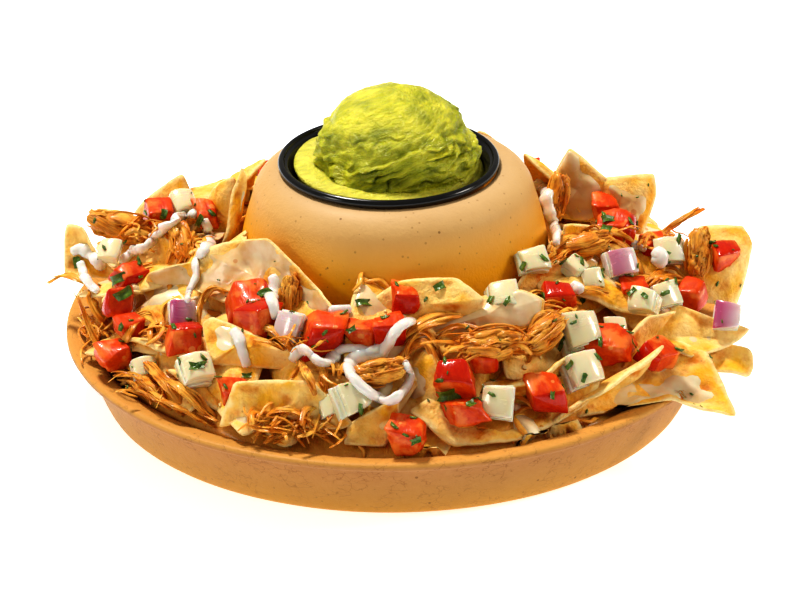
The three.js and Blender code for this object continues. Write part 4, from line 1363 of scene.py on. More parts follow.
# %% [markdown]
# ## Diced toppings
#
# A dice is a block with soft edges, skewed and tapered so no two are alike. It starts as a
# cube whose faces carry a fine grid, crowded towards the edges, and the corners are rounded
# by pulling each point to within the edge radius of an inner box. `skin` marks the one face
# that was the outside of the fruit, and `grain` is the block's own coordinate.

# %% Diced toppings
def block_grid(steps):
    """Points and quads of a cube from -1 to 1 with a grid on each face."""
    spots = np.sin(np.linspace(-1, 1, steps + 1) * math.pi / 2)
    points, faces, known = [], [], {}

    def index_of(point):
        """The number of a point that two faces may share."""
        key = tuple(np.round(point, 5))
        if key not in known:
            known[key] = len(points)
            points.append(point)
        return known[key]

    for axis in range(3):
        for side in (-1, 1):
            for i in range(steps):
                for j in range(steps):
                    quad = []
                    for u, v in ((i, j), (i + 1, j), (i + 1, j + 1), (i, j + 1)):
                        point = [0.0, 0.0, 0.0]
                        point[axis] = float(side)
                        point[(axis + 1) % 3] = spots[u]
                        point[(axis + 2) % 3] = spots[v]
                        quad.append(index_of(tuple(point)))
                    faces.append(tuple(quad) if side > 0 else tuple(quad[::-1]))
    return np.array(points), faces


BLOCK_POINTS, BLOCK_FACES = block_grid(9)
SMALL_POINTS, SMALL_FACES = block_grid(4)
LAYER_POINTS, LAYER_FACES = block_grid(6)
# Size of a piece along X, Y and Z as a share of its size.
TOMATO_SHARES = (1.05, 0.9, 0.8)
ONION_SHARES = (1, 0.9, 0.55)
CHICKEN_SHARES = (1, 0.6, 0.55)
# How much pieces differ in size, and in skew and taper.
SMALLEST_CUT, SIZE_SPREAD, FORM_SPREAD = 0.92, 0.16, 0.3
# Shares of a dice: the edge, how far corners wander, how the skin bulges, how deep dents are,
# and how rough a cut face is.
DICE_EDGE, EDGE_SPREAD = 0.2, 0.12
CORNER_WANDER, SKIN_BULGE, DENT_DEPTH = 0.6, 0.2, 0.25
COARSE_GRAIN, FINE_GRAIN = 0.05, 0.03
# Where a slanting cut starts, as a share of the way out, on a dice and on onion.
DICE_CUT, ONION_CUT = 0.7, 0.78
# A layer of onion: its thickness in millimetres, its edge, its bends and its ripple.
LAYER_THICKNESS = 2.7
LAYER_EDGE = np.array([0.06, 0.06, 0.25])
LONG_BEND, CROSS_BEND = 0.55, 0.12
LAYER_RIPPLE = 0.25


def turned_to(points, place):
    """Tips a shape about X, turns it about Z and sets it in its place."""
    x, y, z, _, turn, tip = place
    points = points @ turn_about(0, math.radians(tip)) @ turn_about(2, math.radians(turn))
    return points + (x, y, z)


def cut_slanting(points, random, deepest):
    """Two slanting cuts: what lies past each plane is pressed back almost onto it."""
    for _ in range(2):
        way = unit([random() - 0.5 for _ in range(3)])
        reach = points @ way
        past = np.clip(reach - reach.max() * (deepest + 0.25 * random()), 0, None)
        points = points - np.outer(past * 0.85, way)
    return points


def cut_form(place, shares, random):
    """Half sizes, skew and taper of one cut piece, as its solid in the CAD model has them."""
    half = [place[3] * share * (SMALLEST_CUT + SIZE_SPREAD * random()) / 2 for share in shares]
    return np.array(half), FORM_SPREAD * (random() - 0.5), FORM_SPREAD * (random() - 0.5)


def shaped(x, y, z, form):
    """Points of a piece with its skew, its taper and its size."""
    half, skew, taper = form
    return np.stack([x + skew * z, y * (1 + taper * x), z], 1) * half


def edges_rounded(cube, edge):
    """A cube with round edges: each point is pulled to within the edge of an inner box."""
    inner = np.clip(cube, edge - 1, 1 - edge)
    away = (cube - inner) / edge
    return inner + away / np.maximum(np.linalg.norm(away, axis=1), 1e-6)[:, None] * edge


def dice(place, seed):
    """One diced piece with the form of its solid, and two slanting cuts."""
    random = seeded(seed)
    form = cut_form(place, TOMATO_SHARES, random)
    cube = BLOCK_POINTS
    points = edges_rounded(cube, DICE_EDGE + EDGE_SPREAD * random())
    nudges = np.array([random() - 0.5 for _ in range(24)]).reshape(2, 2, 2, 3) * CORNER_WANDER
    weights = [np.stack([1 - cube[:, i], 1 + cube[:, i]], 1) / 2 for i in range(3)]
    warp = np.einsum("na,nb,nc,abcd->nd", *weights, nudges)
    axis = int(random() * 3)
    side = 1 if random() > 0.5 else -1
    skin = np.clip((cube[:, axis] * side - 0.9) * 10, 0, 1)
    inside = np.clip(1 - cube**2, 0, 1)
    dome = inside[:, (axis + 1) % 3] * inside[:, (axis + 2) % 3]
    points[:, axis] += side * skin * dome * SKIN_BULGE
    rough = wave(points, 0.7, seed) * COARSE_GRAIN + wave(points, 0.28, seed + 2) * FINE_GRAIN
    cut_dent = np.clip(wave(points, 0.9, seed + 4), 0, 1) * DENT_DEPTH
    points *= (1 + rough * (1 - skin * 0.7) - cut_dent * (1 - skin))[:, None]
    points = cut_slanting(points + warp, random, DICE_CUT)
    grain = points * form[0] + seed * 31.0
    placed = turned_to(shaped(*points.T, form), place)
    return placed, BLOCK_FACES, {"skin": skin, "grain": grain * MM}


def onion_layers(place, seed):
    """A cut of onion: curved layers that lie close, each with its own cut edge."""
    random = seeded(seed)
    form = cut_form(place, ONION_SHARES, random)
    count = max(2, round(2 * form[0][2] / LAYER_THICKNESS))
    slab = edges_rounded(LAYER_POINTS, LAYER_EDGE)
    skin = np.clip(LAYER_POINTS[:, 2] * 4 - 2.6, 0, 1)
    # Near the edges of a layer a mask marks where painted light makes it pale.
    rim = np.clip(np.sort(np.abs(LAYER_POINTS), axis=1)[:, 1] * 2.5 - 1.5, 0, 1)
    layers, faces, skins, grains = [], [], [], []
    for k in range(count):
        x = slab[:, 0] * (1 - 0.16 * random()) + 0.1 * (random() - 0.5)
        y = slab[:, 1] * (1 - 0.16 * random()) + 0.1 * (random() - 0.5)
        z = (2 * k + 1 + 0.98 * slab[:, 2]) / count - 1
        z = z + LONG_BEND * (0.5 - x**2) + CROSS_BEND * (0.5 - y**2)
        layer = shaped(x, y, z, form)
        layer += LAYER_RIPPLE * waves(layer, 4.0, seed + k)
        layers.append(layer)
        faces.extend([tuple(index + len(slab) * k for index in face) for face in LAYER_FACES])
        outermost = 1.0 if k == count - 1 else 0.12
        skins.append(skin * outermost * np.clip(0.75 - 0.7 * slab[:, 0], 0.1, 1))
        grains.append((layer + (0, 0, 9.0 * k + 31.0 * seed)) * MM)
    masks = {"skin": np.concatenate(skins), "grain": np.concatenate(grains)}
    masks["rim"] = np.tile(rim, count)
    cut = cut_slanting(np.concatenate(layers), random, ONION_CUT)
    return turned_to(cut, place), faces, masks


# %% [markdown]
# ## Where the toppings lie
#
# Each row is one piece: its middle, its size, its turn about the upright axis and its tip.
# The large ones are solids of the CAD model, in the same places. The small ones are part of
# its heap.

# %% Where the toppings lie
TOMATO = [
    (-101, 30, 67, 13, 12, 8), (-112, -17, 60, 12, 40, 20), (-116, -29, 53, 13, 15, -25),
    (-88, -66, 53, 14, 10, -14), (-61, -59, 67, 16, 8, 18), (-56, -72, 63, 15, 35, -10),
    (-30, -84, 64, 17, 4, 12), (-14, -86, 64, 12, -8, 6), (-2, -86, 65, 13, 12, 14),
    (-117, -53, 40, 13, 30, 10), (24, -107, 53, 15, -6, 24), (28, -115, 42, 14, 20, -12),
    (4, -126, 38, 14, -12, 10), (61, -101, 44, 14, 14, 16), (87, -72, 51, 18, -20, 8),
    (139, -9, 62, 12, 20, 12), (94, 2, 70, 15, -14, 14), (67, -56, 65, 13, 8, 10),
    (125, -30, 53, 12, -30, 12), (108, -73, 46, 14, 48, 30),
]
WHITE_ONION = [
    (-91, 34, 70, 12, 25, 30), (-121, 4, 61, 11, -10, 30), (-82, -85, 48, 15, 20, 34),
    (-18, -115, 49, 14, 35, 50), (41, -110, 44, 15, -12, 60), (76, -90, 48, 15, 30, 48),
    (75, -73, 58, 16, 25, 52), (57, -42, 75, 13, 20, 40), (116, -10, 64, 14, 10, 44),
    (103, -48, 59, 12, -20, 40), (113, -38, 57, 13, 30, 50),
]
RED_ONION = [
    (-88, -53, 59, 13, 5, 60), (-43, -80, 65, 14, -35, 62), (94, -30, 68, 14, 20, 50),
    (138, -43, 49, 13, -15, 50),
]
CHICKEN = [
    (-117, 24, 63, 25, 175, 12), (-90, -4, 69, 18, 100, 30), (-43, -62, 71, 15, 80, 70),
    (-6, -106, 56, 20, 10, 8), (39, -92, 61, 25, 8, 10), (61, -80, 60, 20, 35, 25),
    (70, 20, 77, 18, 70, 60), (128, -11, 64, 19, 80, 60), (79, -20, 72, 22, 5, 12),
]
SMALL_TOMATO = [
    (-80, 19, 71, 10, 10, 20), (4, -71, 73, 11, 5, 10), (-66, -100, 46, 11, 10, 30),
    (-111, -43, 48, 11, 30, 0), (36, -97, 55, 10, 15, 10), (90, 22, 70, 11, 0, 10),
    (109, 2, 62, 10, 20, 10), (99, -37, 60, 10, 10, 20),
]
SMALL_ONION = [
    (-104, -64, 39, 10, 20, 40), (-27, -112, 44, 10, 20, 40), (44, -67, 71, 14, 5, 30),
    (75, -37, 70, 10, 60, 30), (91, -58, 52, 10, 10, 40), (82, -40, 66, 10, 20, 50),
]


def far_places(count, start, end, radius, size, seed):
    """Toppings behind the pedestal lie on the bed at even steps."""
    random = seeded(seed)
    places = []
    for k in range(count):
        turn = start + (end - start) * (k + 0.5) / count + 5 * (random() - 0.5)
        out = radius + 9 * (random() - 0.5)
        angle = math.radians(turn)
        height = core_height(out, angle) + 0.3 * size
        x, y = out * math.cos(angle), out * math.sin(angle)
        places.append((x, y, height, size, 360 * random(), 30 * random()))
    return places


def named(kind, places):
    """The names of the CAD nodes of one kind."""
    return [f"{kind}_{index + 1:02d}" for index in range(len(places))]


TOMATO += far_places(5, 50, 128, 97, 14, 7)
WHITE_ONION += far_places(3, 60, 125, 112, 14, 8)
RED_ONION += far_places(1, 80, 100, 84, 13, 9)
CHICKEN += far_places(3, 55, 120, 86, 22, 10)

# Seeds of the small pieces start apart from those of the large ones.
SMALL_TOMATO_SEED, SMALL_ONION_SEED = 40, 60
# How strong the coloured skin is on each red piece.
RED_SKIN = (1.0, 0.25, 0.8, 1.0, 1.0)


def add_cuts(batch, cut, places, first_seed=1, skins=None):
    """Adds one cut piece at each place."""
    for index, place in enumerate(places):
        points, faces, masks = cut(place, first_seed + index)
        if skins:
            masks["skin"] = masks["skin"] * skins[index]
        batch.add(points, faces, **masks)


tomato = Batch("skin", "grain")
add_cuts(tomato, dice, TOMATO)
add_cuts(tomato, dice, SMALL_TOMATO, SMALL_TOMATO_SEED)
tomato_nodes = named("tomato", TOMATO)
tomato_piece = tomato.piece("tomato_dice", diced_tomato_flesh, tomato_nodes, CUT_EDGE)
white = Batch("skin", "grain", "rim")
add_cuts(white, onion_layers, WHITE_ONION)
add_cuts(white, onion_layers, SMALL_ONION, SMALL_ONION_SEED)
white_nodes = named("white_onion", WHITE_ONION)
white_piece = white.piece("white_onion_dice", white_onion, white_nodes, CUT_EDGE)
red = Batch("skin", "grain", "rim")
add_cuts(red, onion_layers, RED_ONION, skins=RED_SKIN)
red_nodes = named("red_onion", RED_ONION)
red_piece = red.piece("red_onion_dice", red_onion, red_nodes, CUT_EDGE)

# %% [markdown]
# ## Pulled chicken
#
# A lump of pulled chicken is a torn chunk with deep grooves along its grain, and fine fibres
# that have come loose on it and fray at its ends. The chunk is a ridged spindle; each fibre
# is a thin, flattened tube. Loose shreds are ribbons and fibres along a path.

# %% Fibres and lumps of chicken
# Girth of a lump along its grain: places from end to end, and the share of its half size.
CHUNK_GIRTH = ([-1, -0.85, -0.4, 0.2, 0.8, 1], [0.55, 0.84, 1, 1, 0.86, 0.5])
CHUNK_AROUND = 44
CHUNK_STEPS = 30
LUMP_SHARDS = 11
KNOBBLY_SHARDS = 3
LUMP_STRANDS = 8
SHARD_STEPS, STRAND_STEPS = 9, 11
# Shares of a lump's half size: its plain girth, what stands out between two grooves and as
# hairs, its large and small knobs, and how torn and uneven its ends are.
PLAIN_GIRTH, GROOVE_DEPTH, HAIR_DEPTH = 0.62, 0.15, 0.06
LARGE_KNOBS, SMALL_KNOBS = 0.2, 0.12
TORN_DEPTH = 0.16
# How far noise is stretched along the grain, on a knobbly lump and on a grooved one.
KNOBBLY_STRETCH, GROOVED_STRETCH = 0.9, 0.22
# A fibre with so many sides is a wide one.
WIDE_SIDES = 18
# Lumps that are torn across the grain are knobbly; the others are grooved along it.
KNOBBLY = (2, 3, 6, 7)
meat = Batch("grain", "sunk")


def add_fibre(path, radius, random, sides=5, flat=0.6, tip=0.2, up=None):
    """One torn fibre: thickest in the middle, a little flat, thinned to its ends.

    A wide one is grooved along its length, as muscle is."""
    shares = np.clip(np.linspace(0, 1, len(path)) * 0.94 + 0.03, 0, 1)
    radii = radius * (tip + (1 - tip) * np.sin(math.pi * shares) ** 0.6)
    radii = radii * (1 + 0.3 * wave(path, 4.0, random()))
    lean = up if up is not None else (random() - 0.5, random() - 0.5, 1.0)
    points, faces, grain = tube(path, radii, sides=sides, flat=flat + 0.3 * random(), up=lean)
    # A fibre is darker by a random amount: its own tone.
    sunk = np.full(len(points), 0.5 * random() ** 2)
    if sides >= WIDE_SIDES:
        ring = points[:-2].reshape(len(path), sides, 3)
        stretched = grain[:-2] / MM * (1, 1, 0.12)
        groove = np.clip(np.abs(wave(stretched, 0.9, 40 * random())) * 3, 0, 1)
        middle = np.asarray(path)[:, None, :]
        ring[:] = middle + (ring - middle) * (0.78 + 0.22 * groove.reshape(len(path), sides, 1))
        # The grooves of a wide fibre are painted dark: painted shade.
        sunk[:-2] = 0.6 - 0.6 * groove
    meat.add(clear_of_platter(points), faces, grain=grain + 0.05 * random(), sunk=sunk)


def lump_frame(place):
    """Half sizes and the turn of a lump: its grain runs along local Z."""
    size, turn, tip = place[3:]
    half = np.array([size * share / 2 for share in CHICKEN_SHARES[::-1]])
    return half, turn_about(1, math.radians(90 - tip)) @ turn_about(2, math.radians(turn))


def add_body(place, seed, bend, knobbly):
    """The knobbly body of a lump, with grooves between its strands."""
    half, turned = lump_frame(place)
    size = half.mean()
    stretch = KNOBBLY_STRETCH if knobbly else GROOVED_STRETCH
    ways = np.linspace(0, 2 * math.pi, CHUNK_AROUND, endpoint=False)
    x, y = np.cos(ways), np.sin(ways)
    rings, dips = [], []
    for along in np.linspace(-1, 1, CHUNK_STEPS):
        twist = 0.5 * along * math.sin(seed)
        drift = circle(ways + twist, size, stretch * size * along)
        groove = np.clip(np.abs(wave(drift, 1.9, seed)) * 3.4, 0, 1)
        hair = np.clip(np.abs(wave(drift * (1, 1, 0.5), 0.7, seed + 5)) * 3, 0, 1)
        plain = circle(ways, 1, along) * half
        knobs = LARGE_KNOBS * wave(plain, 4.5, seed + 2) + SMALL_KNOBS * wave(plain, 2.2, seed + 3)
        torn = TORN_DEPTH * np.clip(wave(drift, 3.0, seed + 9) * 4, -1, 1) * abs(along)
        relief = PLAIN_GIRTH + GROOVE_DEPTH * groove + HAIR_DEPTH * hair + knobs + torn
        girth = np.interp(along, *CHUNK_GIRTH) * relief
        end = along * (1 + TORN_DEPTH * wave(drift, 2.4, seed + 7))
        rings.append(np.stack([x * girth + bend * along**2, y * girth, end], 1) * half)
        # The grooves and the gaps between knobs are painted dark: painted shade.
        dips.append(0.7 * (1 - groove) + 0.15 * (1 - hair) - 0.8 * knobs)
    local, faces = closed_rings(rings, [rings[0].mean(0), rings[-1].mean(0)])
    sunk = np.clip(np.concatenate(dips + [[0.6, 0.6]]), 0, 1)
    meat.add(clear_of_platter(local @ turned + place[:3]), faces, grain=local * MM, sunk=sunk)


def part_of_length(random, shortest, longer, spread, furthest, steps):
    """Even steps along a part of a lump's length, about a middle of its own."""
    reach = shortest + longer * random()
    centre = (random() - 0.5) * spread
    return np.linspace(max(-furthest, centre - reach), min(furthest, centre + reach), steps), centre


def add_lump(place, seed, knobbly):
    """A torn lump: its body, flat shards on it, and loose strands frayed at its ends."""
    random = seeded(seed)
    bend = 0.5 * (random() - 0.5)
    add_body(place, seed, bend, knobbly)
    half, turned = lump_frame(place)
    for k in range(KNOBBLY_SHARDS if knobbly else LUMP_SHARDS):
        way = 2.4 * k + random()
        out = 0.6 + 0.3 * random()
        along, centre = part_of_length(random, 0.4, 0.4, 1.1, 1.15, SHARD_STEPS)
        ways = way + 0.9 * (random() - 0.5) * (along - centre)
        girth = out * np.interp(along, *CHUNK_GIRTH) + 0.2 * np.clip(np.abs(along) - 0.6, 0, 1)
        x, y = np.cos(ways) * girth + bend * along**2, np.sin(ways) * girth
        path = np.stack([x, y, along], 1) * half @ turned + place[:3]
        radial = np.array([math.cos(way), math.sin(way), 0.5 * (random() - 0.5)]) @ turned
        wide = (0.26 + 0.2 * random()) * half.mean()
        add_fibre(path, wide, random, sides=WIDE_SIDES, flat=0.25, tip=0.5, up=radial)
    for k in range(LUMP_STRANDS):
        way = 2.4 * k
        out = 0.8 + 0.18 * random()
        along, _ = part_of_length(random, 0.35, 0.5, 1.4, 1.25, STRAND_STEPS)
        flare = 0.3 * np.clip(np.abs(along) - 0.7, 0, 1) * random()
        girth = out * np.interp(along, *CHUNK_GIRTH) + flare
        drift = np.stack([2 * along, np.full(STRAND_STEPS, 3.0 * k), np.zeros(STRAND_STEPS)], 1)
        x = math.cos(way) * girth + bend * along**2 + 0.14 * wave(drift, 1.3, seed)
        y = math.sin(way) * girth + 0.14 * wave(drift, 1.3, seed + 7)
        path = np.stack([x, y, along], 1) * half @ turned + place[:3]
        add_fibre(path, 0.5 + 0.9 * random() ** 2, random, sides=7, flat=0.4, tip=0.3)


for index, place in enumerate(CHICKEN):
    add_lump(place, index + 1, index in KNOBBLY)

# %% Loose shreds and piles
SHRED_WIDTH = 2.1
SHRED_STRANDS = 6
SHRED_STEPS = 22


def add_shred(places, spread, radius, seed, width=SHRED_WIDTH):
    """A loose shred: one flat ribbon and a few fibres side by side along a path."""
    random = seeded(seed)
    path = smooth_path(places, SHRED_STEPS)
    add_fibre(path, radius * width, random, sides=WIDE_SIDES, flat=0.2, tip=0.4)
    for _ in range(SHRED_STRANDS):
        shift = np.array([random() - 0.5, random() - 0.5, 0.4 * (random() - 0.5)])
        shift = shift * 2 * spread * width / SHRED_WIDTH
        away = [random() - 0.5 for _ in range(3)]
        fray = np.outer(np.linspace(-1, 1, len(path)) ** 2, away)
        first = int(8 * random())
        last = len(path) - int(8 * random())
        moved = path + shift + (2.0 * fray + waves(path + shift, 9.0, seed)) * spread
        add_fibre(moved[first:last], radius * (0.5 + 0.6 * random()), random, sides=6, flat=0.4)


def add_tangle(centre, reach, count, length, radius, seed, heading=None):
    """A loose pile of fine fibres that curl every way, or mostly along one heading."""
    random = seeded(seed)
    for _ in range(count):
        spot = np.array([random() for _ in range(3)]) - 0.5
        middle = np.array(centre) + spot * 2 * np.array(reach)
        if heading is None:
            way = 2 * math.pi * random()
        else:
            way = math.radians(heading) + 0.9 * (random() - 0.5)
        slope = 0.5 * (random() - 0.5)
        direction = np.array([math.cos(way), math.sin(way), slope])
        side = np.array([-math.sin(way), math.cos(way), 0])
        half = length * (0.5 + 0.8 * random()) / 2
        curl = half * 1.5 * (random() - 0.5)
        hump = half * 0.6 * random()
        t = np.linspace(-1, 1, 9)
        path = middle + np.outer(t * half, direction) + np.outer((1 - t**2) * curl, side)
        path[:, 2] += (1 - t**2) * hump + 0.3 * np.sin(5 * t + 6 * random())
        add_fibre(path, radius * (0.6 + 1.0 * random() ** 2), random, flat=0.4, tip=0.5)


SHREDS = [
    [(-147, -1, 49), (-141, 0, 52), (-134, -6, 53), (-116, -12, 47)],
    [(102, 5, 56), (121, 10, 69), (132, 16, 72)],
    [(1, -93, 55), (12, -91, 62), (20, -103, 48)],
    [(-58, -116, 32), (-52, -110, 37), (-49, -106, 44)],
    [(-55, -108, 38), (-43, -110, 42), (-31, -113, 39), (-24, -118, 34)],
    [(-56, -114, 34), (-43, -113, 38), (-23, -118, 34)],
    [(3, -88, 60), (14, -85, 68), (27, -84, 70)],
    [(-117, -58, 33), (-105, -67, 37), (-90, -79, 37)],
    [(-113, -66, 31), (-100, -78, 33), (-85, -90, 33)],
    [(-100, -76, 33), (-88, -88, 34), (-73, -102, 33)],
    [(-62, -75, 61), (-51, -79, 64), (-41, -92, 58)],
    [(101, -22, 57), (112, -27, 60), (122, -22, 54)],
]
for index, places in enumerate(SHREDS):
    add_shred(places, 1.4, 1.05, 70 + index)

# %% Shreds on the chips
# Shreds by places in the view: width, how high the middle arches, the run.
LAID_SHREDS = [
    (3.4, 1, [(111, 369), (128, 366), (146, 380), (166, 399)]),
    (3.0, 0, [(115, 379), (134, 381), (154, 395), (172, 409)]),
    (3.2, 2, [(132, 363), (149, 368), (165, 385), (180, 403)]),
    (2.6, 1, [(160, 375), (178, 388), (195, 404), (212, 420)]),
    (2.4, 0, [(150, 393), (172, 403), (194, 415), (216, 427)]),
    (2.2, 1, [(172, 380), (187, 392), (201, 404), (216, 416)]),
    (1.6, 1, [(122, 372), (142, 384), (160, 398), (184, 414)]),
    (3.0, 4, [(200, 330), (203, 308), (213, 296), (228, 292)]),
    (2.4, 2, [(246, 330), (262, 334), (280, 342), (295, 353)]),
    (1.8, 1, [(250, 338), (266, 343), (284, 350)]),
    (2.6, 2, [(299, 361), (307, 377), (315, 395)]),
    (2.2, 2, [(312, 358), (322, 372), (327, 391)]),
    (2.8, 2, [(403, 338), (420, 326), (440, 318), (460, 314)]),
    (2.4, 4, [(404, 368), (410, 350), (424, 342), (436, 350), (445, 368)]),
    (2.2, 2, [(462, 362), (478, 350), (498, 346), (520, 352)]),
    (2.2, 3, [(527, 346), (535, 326), (552, 318), (569, 322)]),
    (2.2, 3, [(526, 355), (537, 336), (553, 327), (571, 333)]),
    (2.2, 2, [(528, 362), (541, 346), (556, 337), (573, 343)]),
    (2.6, 2, [(548, 258), (560, 244), (578, 240), (596, 248), (611, 259)]),
    (2.2, 1, [(552, 262), (568, 252), (588, 250), (606, 262)]),
    (2.4, 1, [(643, 286), (656, 274), (672, 270), (688, 281)]),
    (2.2, 1, [(644, 292), (660, 281), (676, 278), (688, 288)]),
    (2.0, 1, [(573, 296), (590, 290), (608, 293)]),
    (2.8, 2, [(167, 263), (177, 244), (186, 228), (197, 221)]),
    (2.4, 1, [(178, 264), (187, 248), (195, 233)]),
    (4.2, 2, [(125, 341), (139, 323), (155, 320), (167, 338)]),
    (3.0, 1, [(100, 325), (112, 316), (124, 320)]),
    (2.2, 2, [(258, 425), (275, 414), (298, 416), (322, 432)]),
    (2.0, 2, [(252, 436), (276, 428), (304, 430), (336, 445)]),
    (2.0, 1, [(82, 296), (85, 312), (92, 330), (99, 343)]),
    (1.8, 2, [(89, 290), (92, 306), (100, 322), (108, 330)]),
    (1.6, 1, [(79, 306), (84, 325), (94, 343), (106, 356)]),
    (1.8, 1, [(94, 345), (104, 356), (118, 366), (131, 372)]),
    (1.8, 2, [(266, 443), (284, 436), (302, 422), (306, 408)]),
]
chips_surface = surface_of([bed_piece, chips_piece, low_chips_piece])
# A path bridges gaps up to so many steps long, and is smoothed in so many passes.
BRIDGED_STEPS = 4
BRIDGE_PASSES = 6


def laid_path(run, surface, steps, lift):
    """A path over a surface through places in the view, which bridges its small gaps."""
    hits = []
    for across, down, _ in smooth_path([(across, down, 0) for across, down in run], steps):
        hit = surface.ray_cast(camera_place, view_ray(across, down))[0]
        if hit is not None:
            hits.append(np.array(hit))
    towards = np.array(camera_back)
    depth = np.array([np.dot(hit - np.array(camera_place), towards) for hit in hits])
    windows = [depth[max(0, i - BRIDGED_STEPS) : i + BRIDGED_STEPS + 1] for i in range(len(depth))]
    near = np.array([window.max() for window in windows])
    for _ in range(BRIDGE_PASSES):
        near = np.convolve(np.pad(near, 1, mode="edge"), [0.25, 0.5, 0.25], mode="valid")
    return np.array([hit + towards * (n - d + lift) for hit, n, d in zip(hits, near, depth)])


for index, (width, arch, run) in enumerate(LAID_SHREDS):
    path = laid_path(run, chips_surface, SHRED_STEPS, 0.6)
    path[:, 2] += arch * (1 - np.linspace(-1, 1, len(path)) ** 2)
    add_shred(path, 1.2, 0.8, 120 + index, width)

# Piles of loose fibres: middle, reach each way, how many, length, thickness, heading.
TANGLES = [
    ((-42, -116, 38), (16, 4, 5), 58, 17, 0.95, None),
    ((-98, -76, 36), (13, 9, 2), 12, 18, 0.7, -45),
    ((-122, -22, 34), (3, 22, 3), 22, 16, 0.85, -70),
    ((-130, -20, 34), (3, 22, 2), 26, 15, 0.8, -78),
    ((-90, -58, 50), (12, 8, 3), 14, 16, 0.9, None),
    ((35, -92, 60), (18, 4, 3), 24, 22, 1.0, 5),
    ((-15, -100, 53), (12, 4, 3), 18, 13, 0.9, None),
    ((-38, -88, 61), (10, 4, 3), 14, 13, 0.9, None),
    ((90, -12, 71), (12, 7, 2), 16, 14, 1.1, None),
    ((112, 0, 64), (12, 8, 2), 12, 13, 1.1, None),
    ((-104, 10, 67), (10, 10, 3), 18, 16, 0.95, None),
    ((66, -66, 63), (10, 7, 3), 20, 16, 0.9, 30),
]
for index, (centre, reach, count, length, radius, heading) in enumerate(TANGLES):
    add_tangle(centre, reach, count, length, radius, 90 + index, heading)
meat_nodes = named("chicken", CHICKEN)
meat_piece = meat.piece("pulled_chicken", sauced_chicken, meat_nodes)

# %% [markdown]
# ## What lies on top
#
# Cream and herbs lie on whatever is under them, so their places are found by casting a ray
# from the camera through a named place in its view onto the finished heap. The cream's
# height is then smoothed along its run, as a thick pour bridges small gaps.

# %% Finding the surface
heap_surface = surface_of([
    bed_piece, chips_piece, low_chips_piece, cheese_piece,
    tomato_piece, white_piece, red_piece, meat_piece,
])


def seen_at(across, down):
    """The point and the outward face direction of the heap at a place in the view."""
    ray = view_ray(across, down)
    point, normal, _, _ = heap_surface.ray_cast(camera_place, ray)
    if point is None:
        return None, None
    if normal.dot(ray) > 0:
        normal = -normal
    return np.array(point), np.array(normal)


# %% Poured cream
# Runs of cream: the half width, and the places in the view that it passes.
CREAM_RUNS = [
    (2.7, [
        (293, 360), (298, 352), (306, 350), (313, 357), (322, 363), (331, 360), (337, 351),
        (350, 348), (364, 351), (378, 353), (388, 344), (393, 334), (402, 325), (412, 320),
    ]),
    (2.9, [
        (386, 350), (372, 353), (356, 358), (349, 366), (353, 376), (361, 386), (373, 394),
        (387, 401), (398, 396), (408, 384), (410, 372), (404, 362),
    ]),
    (2.3, [(72, 252), (80, 249), (90, 253), (98, 262), (104, 270)]),
    (2.0, [(80, 262), (84, 273), (90, 284), (99, 292)]),
    (2.3, [(121, 262), (133, 252), (146, 247), (158, 236), (169, 226), (182, 219), (196, 214)]),
    (2.2, [
        (204, 220), (210, 232), (212, 242), (203, 252), (196, 262), (196, 276), (190, 290),
        (189, 301),
    ]),
    (2.5, [(272, 276), (275, 284), (272, 296), (274, 308), (276, 318)]),
    (2.2, [(233, 330), (239, 338), (242, 350), (247, 366)]),
    (2.0, [(330, 312), (340, 308), (351, 309)]),
    (3.0, [(655, 250), (661, 258), (655, 265)]),
    (2.0, [(572, 284), (582, 291)]),
    (2.2, [(632, 246), (645, 249)]),
    (2.6, [(538, 180), (546, 200), (552, 222), (556, 244)]),
]
CREAM_STEP = 1.1
CREAM_SIDES = 12
# The pour swells and thins along its run, between these shares of its half width.
CREAM_THINNEST, CREAM_THICKEST = 0.55, 1.6
cream = Batch()
for index, (half_width, run) in enumerate(CREAM_RUNS):
    path = laid_path(run, heap_surface, 10 * len(run), 0.2 * half_width)
    spaced = [path[0]]
    for place in path[1:]:
        if np.linalg.norm(place - spaced[-1]) > CREAM_STEP:
            spaced.append(place)
    path = np.array(spaced)
    share = np.linspace(0, 1, len(path))
    thinned = 0.55 + 0.45 * np.sin(math.pi * np.clip(share * 0.9 + 0.05, 0, 1)) ** 0.35
    uneven = 1.12 + 0.45 * wave(path, 7.0, index) + 0.25 * wave(path, 3.0, index + 4)
    radii = np.clip(half_width * uneven, CREAM_THINNEST * half_width, CREAM_THICKEST * half_width)
    radii = radii * thinned
    points, faces, _ = tube(path, radii, CREAM_SIDES, flat=0.6, up=tuple(camera_back))
    cream.add(points, faces)
cream.piece("cream_drizzle", poured_cream)

# %% [markdown]
# ## Herbs
#
# Chopped leaves: a few whole lobed leaves on the toppings, and many small flakes. A leaf is
# a thin closed sheet with a lobed outline, folded a little along its middle rib.

# %% Large leaves
LEAF_CORNERS = 8
LEAF_STEPS = 5
LEAF_THICKNESS = 0.35
# Shares of the way out at which a leaf has a ring of points.
LEAF_RINGS = (0.35, 0.7, 1.0)


